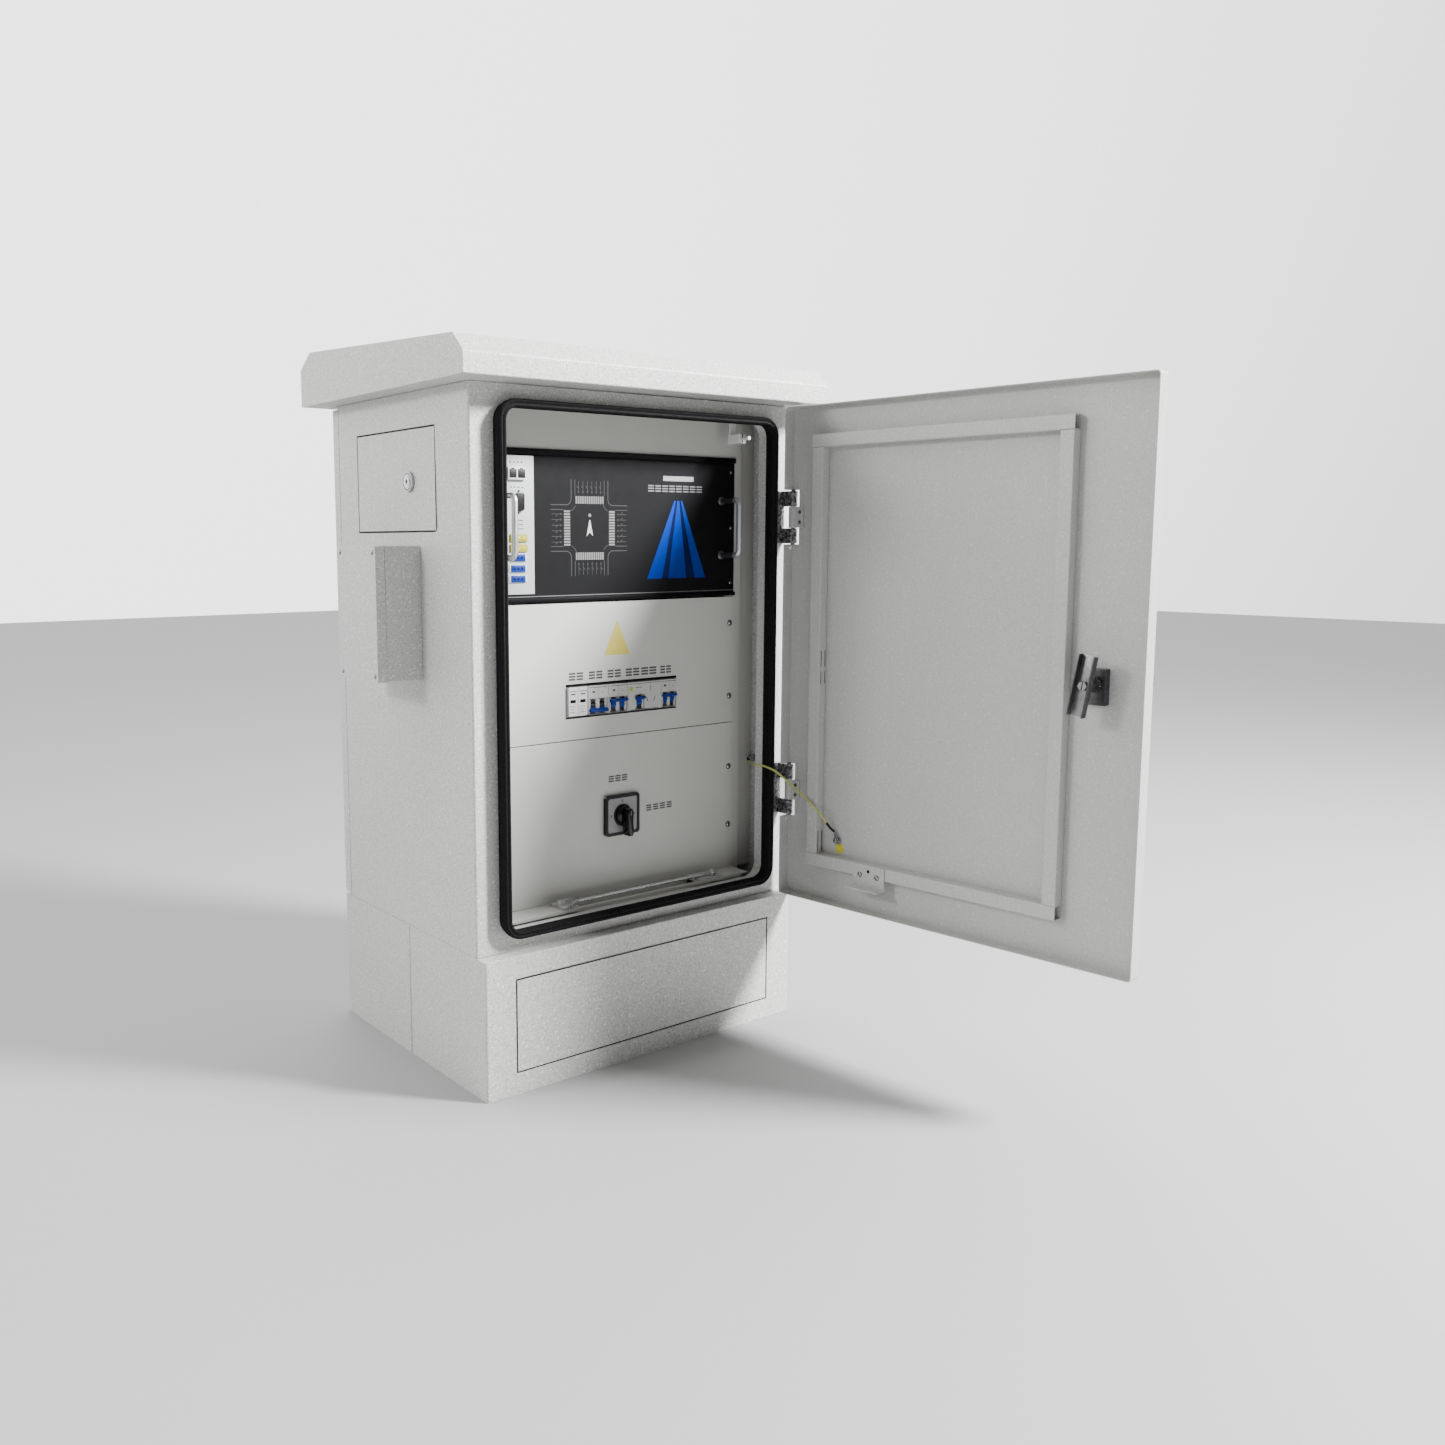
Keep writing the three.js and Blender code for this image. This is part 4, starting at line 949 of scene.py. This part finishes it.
def breakers():
    for name, (x0, x1) in MODULES.items():
        soften(name + "_case", [name], MODULE_PLASTIC, 0.5)
        detail = Piece(name + "_marks")
        marks(detail, bar(x0 + 2, x1 - 2, 564.4, 565.3), GREY_LEGEND, NOSE)
        if name == "residual_breaker":
            residual_marks(detail)
        else:
            middle = (x0 + x1) / 2
            marks(detail, bar(middle - 11, middle - 6, 556.4, 559.6), GREY_LEGEND, NOSE)
            marks(detail, bar(middle + 6, middle + 9, 556, 557), GREY_LEGEND, NOSE)
            detail.box((middle - 0.2, NOSE - 0.12, 549), (middle + 0.2, NOSE + 0.2, 567), LINE_INK,
                       0.04)
        marks(detail, bar(x0 + 3, x1 - 6, 523.9, 524.6), GREY_LEGEND, NOSE)
        slot_cover(detail, *TOGGLES[name])
        detail.place("cabinet", "white_plastic")


def residual_marks(detail):
    """Test button, a bar and two slanted strokes."""
    button = [(3.4, 0), (3.4, 0.5), (2.9, 0.9), (0, 1)]
    detail.add(turned(button, (25, NOSE, 557), FRONT, 24), LIME_INK)
    marks(detail, bar(34, 46, 558.5, 559.5), GREY_LEGEND, NOSE)
    marks(detail, stroke([(64, 561), (64, 551)], 1.0), DARK_INK, NOSE)
    marks(detail, stroke([(55, 543), (58.5, 535)], 1.1), DARK_INK, NOSE)
    marks(detail, stroke([(73, 543), (69.5, 535)], 1.1), DARK_INK, NOSE)


def toggle_legs(x0, x1):
    """Where the legs stand below a finger bar: one on a narrow lever, two on a wide one."""
    count = 1 if x1 - x0 < 25 else 2
    pole = (x1 - x0) / count
    middles = [x0 + pole * (i + 0.5) for i in range(count)]
    return [(middle - pole * 0.27, middle + pole * 0.27) for middle in middles]


def slot_cover(detail, x0, x1):
    """White nose strips that close a lever's slot beside its legs."""
    edges = [x0, *(v for leg in toggle_legs(x0, x1) for v in leg), x1]
    for low, high in zip(edges[::2], edges[1::2]):
        detail.box((low + 0.2, 67.9, 524.6), (high - 0.2, 69.4, 547.4), MODULE_PLASTIC, 0.2)


def toggle(name, node, x0, x1, up):
    """Blue lever: wide finger bar on one or two legs, over a half-round drum."""
    y, z = TOGGLE_PIVOT
    turn = Matrix.Translation((0, y, z)) @ Matrix.Rotation(radians(-up * TOGGLE_SWING), 4, "X")
    lever = Piece(name)
    lever.add(drum(4.9, x0 + 0.3, x1 - 0.3, (0, y, z), RIGHT), BLACK_PLASTIC)
    parts = [block((x0, -13.5, -1.9), (x1, -8.3, 1.9), 0.7)]
    for low, high in toggle_legs(x0, x1):
        parts.append(block((low, -9, -1.7), (high, -3, 1.7), 0.5))
        if up > 0:
            lever.add(drum(6.6, low, high, (0, y, z), RIGHT), BLUE_PLASTIC)
    for solid in parts:
        lever.add(moved(solid, turn), BLUE_PLASTIC)
    lever.place(BODY_OF[node], "blue_plastic", [node])


def toggles():
    for name, (x0, x1) in TOGGLES.items():
        toggle(name + "_lever", name + "_toggle", x0, x1, -1 if name == "breaker_1" else 1)


# ---- changeover switch ----
def changeover():
    """Square black bezel round a grey plate, with a ring and three marks round the knob."""
    x, z, front = SWITCH["x"], SWITCH["z"], SWITCH["front"]
    soften("changeover_case", ["changeover_switch_body"], GREY_PLASTIC, 0.4)
    bezel = Piece("changeover_bezel")
    outer = rounded(x - 33, x + 33, z - 31.5, z + 32, 5)
    inner = rounded(x - 28.5, x + 28.5, z - 27, z + 27.5, 3.5)
    bezel.add(ring_plate(outer, inner, front - 1.6, PANEL_FACE - 0.3), BLACK_PLASTIC)
    face = rounded(x - 28.4, x + 28.4, z - 26.9, z + 27.4, 3.5)
    bezel.add(plate(face, front - 0.5, front + 2), PALE_PLASTIC)
    ring = [(17.5, 0), (17.5, 0.8), (16.5, 1.2), (14.8, 1.2)]
    bezel.add(turned(ring, (x, front - 0.4, z), FRONT, 40), BLACK_PLASTIC)
    for dx, dz in ((-22.5, 0), (0, 22.5), (22.5, 0)):
        mark = bar(x + dx - 1, x + dx + 1, z + dz - 2, z + dz + 2)
        marks(bezel, mark, GREY_LEGEND, front - 0.5)
    bezel.place("cabinet", "grey_plastic")


def switch_legends():
    """Plain bars above and beside the changeover switch."""
    legends = Piece("switch_panel_marks")
    for x0, z0 in SWITCH["legends"]:
        for low in (z0, z0 + 3.7, z0 + 7.4):
            marks(legends, bar(x0, x0 + 10.5, low, low + 2.4), GREY_LEGEND)
    legends.place("cabinet", "panel_white")


def ring_plate(outer, inner, y0, y1):
    """Flat frame between two outlines with the same number of points."""
    solid = hoop([(outer, y0), (outer, y1), (inner, y1), (inner, y0)])
    rim = [e for e in solid.edges if all(abs(v.co.y - y0) < 1e-6 for v in e.verts)
           and e.calc_face_angle() > 0.6]
    round_edges(solid, rim, 0.8, 3)
    return solid


def changeover_knob():
    x, z, front = SWITCH["x"], SWITCH["z"], SWITCH["front"]
    knob = Piece("changeover_grip")
    hub = [(14.6, 0.5), (14.8, 5), (14, 6.8), (11, 8.2), (6, 9), (0, 9.2)]
    knob.add(turned(hub, (x, front, z), FRONT, 40), KNOB_PLASTIC)
    grip = [(x - 5.2, z - 5), (x - 4.6, z - 24), (x - 2.5, z - 30.4), (x + 3.6, z - 31),
            (x + 6.4, z - 27), (x + 5.4, z - 10), (x + 6, z + 6), (x + 3.5, z + 12.6),
            (x - 3.5, z + 12.6), (x - 6, z + 6)]
    knob.add(plate(grip, front - 22.6, front - 6, 2.4, 4), KNOB_PLASTIC)
    marks(knob, bar(x - 0.6, x + 0.6, z + 2, z + 10), PALE_INK, front - 22.6)
    knob.place("changeover", "black_plastic", ["changeover_knob"], sharp=50)


# ---- hinges ----
def hinge(node_body, node_door, z, y):
    """Mottled body leaf with its end knuckles, pale door leaf between them."""
    soften(node_body + "_steel", [node_body], HINGE_STEEL, 0.5)
    caps = Piece(node_body + "_pin")
    for way in (1, -1):
        cap = [(3.6, -0.5), (3.6, 0.7), (2.9, 1.3), (0, 1.5)]
        caps.add(turned(cap, (PIVOT[0], y, z + way * 41.9), (0, 0, way), 20), DARK_STEEL)
    for low in (z + 19, z - 21):
        caps.add(turned([(7.3, 0), (7.3, 2)], (PIVOT[0], y, low), UP, 28), HINGE_STEEL)
    caps.place("cabinet", "black_steel")
    if node_door:
        soften(node_door + "_steel", [node_door], DOOR, 0.5)
        dots = Piece(node_door + "_screws")
        for dz in (-8, 8):
            dome_screw(dots, (277, DOOR_LEAF_FACE, z + dz), 2.6, BACK, DARK_STEEL)
        dots.place("front_door", "zinc")


def hinges():
    for which, z in HINGE_CENTRES.items():
        hinge(f"{which}_hinge_body_leaf", f"{which}_hinge_door_leaf", z, PIVOT[1])
        hinge(f"rear_{which}_hinge_leaf", None, z, REAR_PIVOT)


# ---- front door ----
def front_door():
    """Folded pan and four square-tube stiffeners, with dark slots in the one by the hinges."""
    soften("front_door_shell", ["front_door_pan"], DOOR, 0.4,
           [(is_pan_corner, 5), (is_pan_inner_corner, 3.5)])
    for side in ("top", "bottom", "hinge_side", "latch_side"):
        soften(f"stiffener_{side}_tube", [f"stiffener_{side}"], DOOR, 0.35, [(is_tube_corner, 1.6)])
    slots = Piece("stiffener_slots")
    for z0, z1 in ((587, 613), (560, 580), (289, 323)):
        for inward in (4.5, 14):
            low = on_door(STIFFENER_FACE + 0.25, inward, z0)
            high = on_door(STIFFENER_FACE - 0.5, inward + 1.4, z1)
            slots.box(low, high, BLACK_PLASTIC, 0.1, 1)
    slots.place("front_door", "black_plastic")


def is_tube_corner(edge):
    return edge.calc_length() > 300 and edge.is_convex


def is_rim_corner(edge, inset):
    """A corner of the pan's rim, that far inside its outer faces."""
    place = edge.verts[0].co
    at_end = min(abs(place.z - DOOR_BOTTOM - inset), abs(place.z - DOOR_TOP + inset)) < 0.1
    return at_end and runs_along(edge, 1) and abs(abs(place.x) - DOOR_EDGE + inset) < 0.1


def is_pan_corner(edge):
    return is_rim_corner(edge, 0)


def is_pan_inner_corner(edge):
    return is_rim_corner(edge, DOOR_SHEET)


def door_bracket():
    soften("door_bracket_plate", ["door_stay_bracket"], DOOR, 0.4)
    screws = Piece("door_bracket_screws")
    for along in (160, 191):
        dome_screw(screws, on_door(along, 22.3, 270), 3.4, BACK)
    screws.add(drum(2.6, 0, 0.3, on_door(175.5, 22.3, 277), BACK, 20), BLACK_PLASTIC)
    screws.place("front_door", "zinc")


def about(centre, degrees):
    """From places round a point of the door to the door itself, turned square to it."""
    return Matrix.Translation(centre) @ Matrix.Rotation(radians(degrees), 4, "Y")


def latch():
    """Galvanised claw on its spindle, serrated nut and housing. The claw's side flanges are darker
    as painted shade, and every other tooth of the nut is bright as a painted highlight.
    """
    soften("latch_housing_box", ["latch_housing"], HOUSING_STEEL, 0.6)
    centre = on_door(SPINDLE["along"], 0, SPINDLE["z"])
    tilt = about(centre, -CLAW_TILT)
    claw = Piece("latch_claw_channel")
    for x0, y0, x1, y1 in ((-11, 44.5, 11, 46.5), (-11, 44.6, -9.2, 56), (9.2, 44.6, 11, 56)):
        side = moved(block((x0, y0, -41), (x1, y1, 41), 0.5), tilt)
        # painted shade: the claw's side flanges take the darker housing steel
        claw.add(side, LATCH_STEEL if x1 - x0 > 5 else HOUSING_STEEL)
    claw.add(drum(6, -3.5, 44.8, centre, BACK, 24), DARK_STEEL)
    claw.add(turned([(0, 46), (7, 46), (7, 50), (6.3, 51), (0, 51)], centre, BACK, 6), SCREW)
    claw.add(moved(block((-0.7, 50.4, -5.4), (0.7, 51.2, 5.4), 0.1), tilt), BLACK_PLASTIC)
    claw.add(drum(8.8, 14.5, 23.9, centre, BACK, 32), DARK_STEEL)
    for i in range(NUT_TEETH):
        tooth = block((-0.95, 15, 8), (0.95, 23.6, 10.9), 0.4)
        # painted highlight: every other tooth in bright screw steel
        claw.add(moved(tooth, about(centre, 360 * i / NUT_TEETH)), SCREW if i % 2 else DARK_STEEL)
    claw.place("front_latch", "zinc", ["latch_claw"])


def outside_handle():
    soften("escutcheon_plate", ["handle_escutcheon"], HINGE_STEEL, 1.2)
    soften("handle_lever", ["door_handle"], HINGE_STEEL, 1.8)


def door_earth():
    """Stud, nuts and crimped ring lug, with a small plain label below."""
    centre = on_door(103, 0, 311)
    stud = Piece("door_earth_fastener")
    stud.add(turned([(0, 1.8), (3, 1.8), (3, 11.4), (2.4, 12), (0, 12)], centre, BACK, 20), SCREW)
    stud.add(drum(5.8, 1.8, 4.2, centre, BACK, 6), SCREW)
    stud.add(drum(6, 4.3, 5.9, centre, BACK), SCREW)
    nut = [(0, 6), (5.2, 6), (5.4, 6.6), (5.4, 9.4), (4.8, 10), (0, 10)]
    stud.add(turned(nut, centre, BACK, 6), SCREW)
    stud.add(moved(block((-2.6, 4.3, 4), (2.6, 6, 13), 0.4), about(centre, 20)), SCREW)
    stud.place("front_door", "zinc", ["door_earth_stud"])
    label = Piece("door_earth_label")
    label.box(on_door(113, 1.5, 291), on_door(99, 1.9, 304.5), LABEL_YELLOW, 0.1)
    label.place("front_door", "door_paint")


def body_earth():
    soften("body_earth_fastener", ["body_earth_stud"], SCREW, 0.4)


# ---- rear door, side door and side box ----
def rear_door():
    soften("rear_door_shell", ["rear_door_pan"], CABINET, 0.5, [(is_rear_corner, 3)])
    soften("rear_lock_barrel", ["rear_door_lock"], CHROME, 0.6)
    keyway = Piece("rear_lock_keyway")
    keyway.box((-215.8, 435.7, 595), (-214.2, 436.15, 605), BLACK_PLASTIC, 0.2)
    keyway.place("rear_lock", "chrome")


def is_rear_corner(edge):
    return runs_along(edge, 1) and edge.is_convex and abs(edge.verts[0].co.x) > HALF_WIDTH - 1.1


def side_door_gap():
    """Black strips in the gap round the side door, widest along the top: painted shade."""
    low, high = node_box("side_access_door")
    x0, x1 = -HALF_WIDTH - GAP_SHADE_PROUD, -HALF_WIDTH + 0.3
    foot, head = low.z - 0.6, high.z - 0.3
    near, far = low.y - 0.4, high.y - 0.3
    gap = Piece("side_door_gap_shade")
    for y0, y1, z0, z1 in ((low.y, high.y, head, head + GAP_LINES["above"]),
                           (low.y, high.y, foot, foot + GAP_LINES["below"]),
                           (far, far + GAP_LINES["rear"], foot, high.z + 2),
                           (near, near + GAP_LINES["front"], foot, high.z + 2)):
        gap.box((x0, y0, z0), (x1, y1, z1), BLACK_RIM_AND_SHADE, 0)
    gap.place("cabinet", "black_plastic")


def side_door():
    soften("side_door_shell", ["side_access_door"], CABINET, 0.7)
    soften("side_lock_cam", ["side_door_lock"], CHROME, 0.5)
    lock = Piece("side_lock_face")
    x, y, z = SIDE_LOCK
    rim = [(14.4, 0.4), (14.4, 3), (13, 4.6), (10.6, 4.8), (10, 4.0), (0, 4.0)]
    barrel = [(0, 4.1), (8.6, 4.1), (8, 5.4), (0, 5.4)]
    lock.add(turned(rim, SIDE_LOCK, LEFT, 40), DARK_STEEL)
    lock.add(turned(barrel, SIDE_LOCK, LEFT, 32), CHROME)
    lock.box((x - 5.7, y - 0.9, z - 4.5), (x - 5.2, y + 0.9, z + 4.5), BLACK_PLASTIC, 0.2)
    lock.add(turned([(2.6, 5.3), (2.6, 5.7), (0, 5.7)], SIDE_LOCK, LEFT, 20), BLACK_PLASTIC)
    lock.place("side_lock", "chrome")


def side_box():
    bend = [(lambda e: runs_in_x(e) and e.is_convex, 2.2)]
    soften("side_box_case", ["side_box_body"], CABINET, 0.6, bend)
    soften("side_box_cover", ["side_box_lid"], CABINET, 0.8, bend)
    screws = Piece("side_box_screws")
    for y in (SIDE_BOX["front"] + 9, SIDE_BOX["back"] - 9):
        for z in (SIDE_BOX["low"] + 9, SIDE_BOX["high"] - 9):
            dome_screw(screws, (SIDE_BOX["face"], y, z), 3, LEFT, high=0.4)
    screws.place("cabinet", "zinc")


# ---- inside of the body ----
def inside_of_body():
    soften("rack_frame_sheet", ["rack_frame"], WHITE_COAT, 0.4)
    folds = Piece("rack_frame_folds")
    for low, high in FOLDS.values():
        folds.box(low, high, WHITE_COAT, 0.3)
    folds.place("cabinet", "cabinet_paint")
    for name, node, material, fine in (
            ("chassis_case", "controller_chassis", GREY_PLASTIC, 0.5),
            ("breaker_panel_plate", "breaker_panel", WHITE_COAT, 0.4),
            ("switch_panel_plate", "switch_panel", WHITE_COAT, 0.4),
            ("rail_top_hat", "din_rail", ZINC, 0.2),
            ("stay_bracket_plate", "stay_rod_bracket", CABINET, 0.4),
            ("stay_rest_plate", "stay_rod_rest", CABINET, 0.4)):
        soften(name, [node], material, fine)


def contact_switch():
    """Two bright blocks of a door contact, with the plunger below its cover."""
    soften("contact_switch_case", ["door_contact_switch"], BRIGHT_PLASTIC, 0.5)
    gap = Piece("contact_switch_gap")
    gap.box((210.6, 19.6, 937.8), (212.4, 44, 952.2), BLACK_PLASTIC, 0.2)
    gap.place("cabinet", "white_plastic")
    soften("contact_plunger_pin", ["door_contact_plunger"], WHITE_PLASTIC, 0.4)


def stay_rod():
    """Bright rod with its bent tip and eye."""
    x, y, z = ROD_EYE
    end = -101
    bend = [(end + 4 - 9 * t, y - 4 * t * t, z) for t in (0, 0.35, 0.7, 1)]
    path = [(x - 7, y, z), (x - 60, y, z), (0, y, z), *bend, (-118, 29, z), (-125, 22, z)]
    eye = [(3.4, -3), (7.4, -3), (8, -2.4), (8, 2.4), (7.4, 3), (3.4, 3)]
    rod = Piece("stay_rod_bar")
    rod.add(tube(path, 3, 14), ROD_STEEL)
    rod.add(turned(eye, ROD_EYE, UP, 28, hollow=True), ROD_STEEL)
    rod.place("stay_rod", "zinc", ["door_stay_rod"])


# ---- setting ----
def floor():
    mesh = bpy.data.meshes.new("floor")
    corners = [(-FLOOR_HALF, -FLOOR_HALF, 0), (FLOOR_HALF, -FLOOR_HALF, 0),
               (FLOOR_HALF, FLOOR_HALF, 0), (-FLOOR_HALF, FLOOR_HALF, 0)]
    mesh.from_pydata(corners, [], [(0, 1, 2, 3)])
    mesh.materials.append(Paint("floor", (0.33, 0.33, 0.33), 0.7).material)
    into_scene("floor", mesh)


def area_light(name, place, aim, size, power):
    data = bpy.data.lights.new(name, "AREA")
    data.shape = "DISK"
    data.size = size
    data.energy = power
    lamp = into_scene(name, data)
    lamp.location = place
    lamp.rotation_euler = (Vector(aim) - Vector(place)).to_track_quat("-Z", "Y").to_euler()


def lighting():
    """White room, brighter behind the part than in front of it, and two lamps."""
    world = bpy.data.worlds.new("studio")
    world.use_nodes = True
    tree = world.node_tree
    background = tree.nodes["Background"].inputs
    background["Color"].default_value = (1, 1, 1, 1)
    way = tree.nodes.new("ShaderNodeTexCoord").outputs["Generated"]
    facing = add_node(tree, "VectorMath", {0: way}, {1: BACKDROP_SIDE})
    facing.operation = "DOT_PRODUCT"
    level = add_node(tree, "MapRange", {"Value": facing.outputs["Value"]},
                     {"From Min": -0.3, "To Min": ROOM_LIGHT[0], "To Max": ROOM_LIGHT[1]})
    level.interpolation_type = "SMOOTHSTEP"
    tree.links.new(level.outputs["Result"], background["Strength"])
    bpy.context.scene.world = world
    for name, (place, aim, size, power) in LAMPS.items():
        area_light(name, place, aim, size, power)


# ---- everything, lead first ----
def build():
    earth_lead()
    cabinet_body()
    roof()
    plinth()
    plinth_panel_gap()
    seals()
    panel_screws()
    controller_front()
    controller_marks()
    io_strip()
    d_handle("left_handle", "controller_left_handle", -212)
    d_handle("right_handle", "controller_right_handle", 212)
    breaker_panel_marks_and_shade()
    surge_protector_detail()
    breakers()
    toggles()
    changeover()
    switch_legends()
    changeover_knob()
    hinges()
    front_door()
    door_bracket()
    latch()
    outside_handle()
    door_earth()
    body_earth()
    rear_door()
    side_door_gap()
    side_door()
    side_box()
    inside_of_body()
    contact_switch()
    stay_rod()


make_camera()
build()
floor()
lighting()
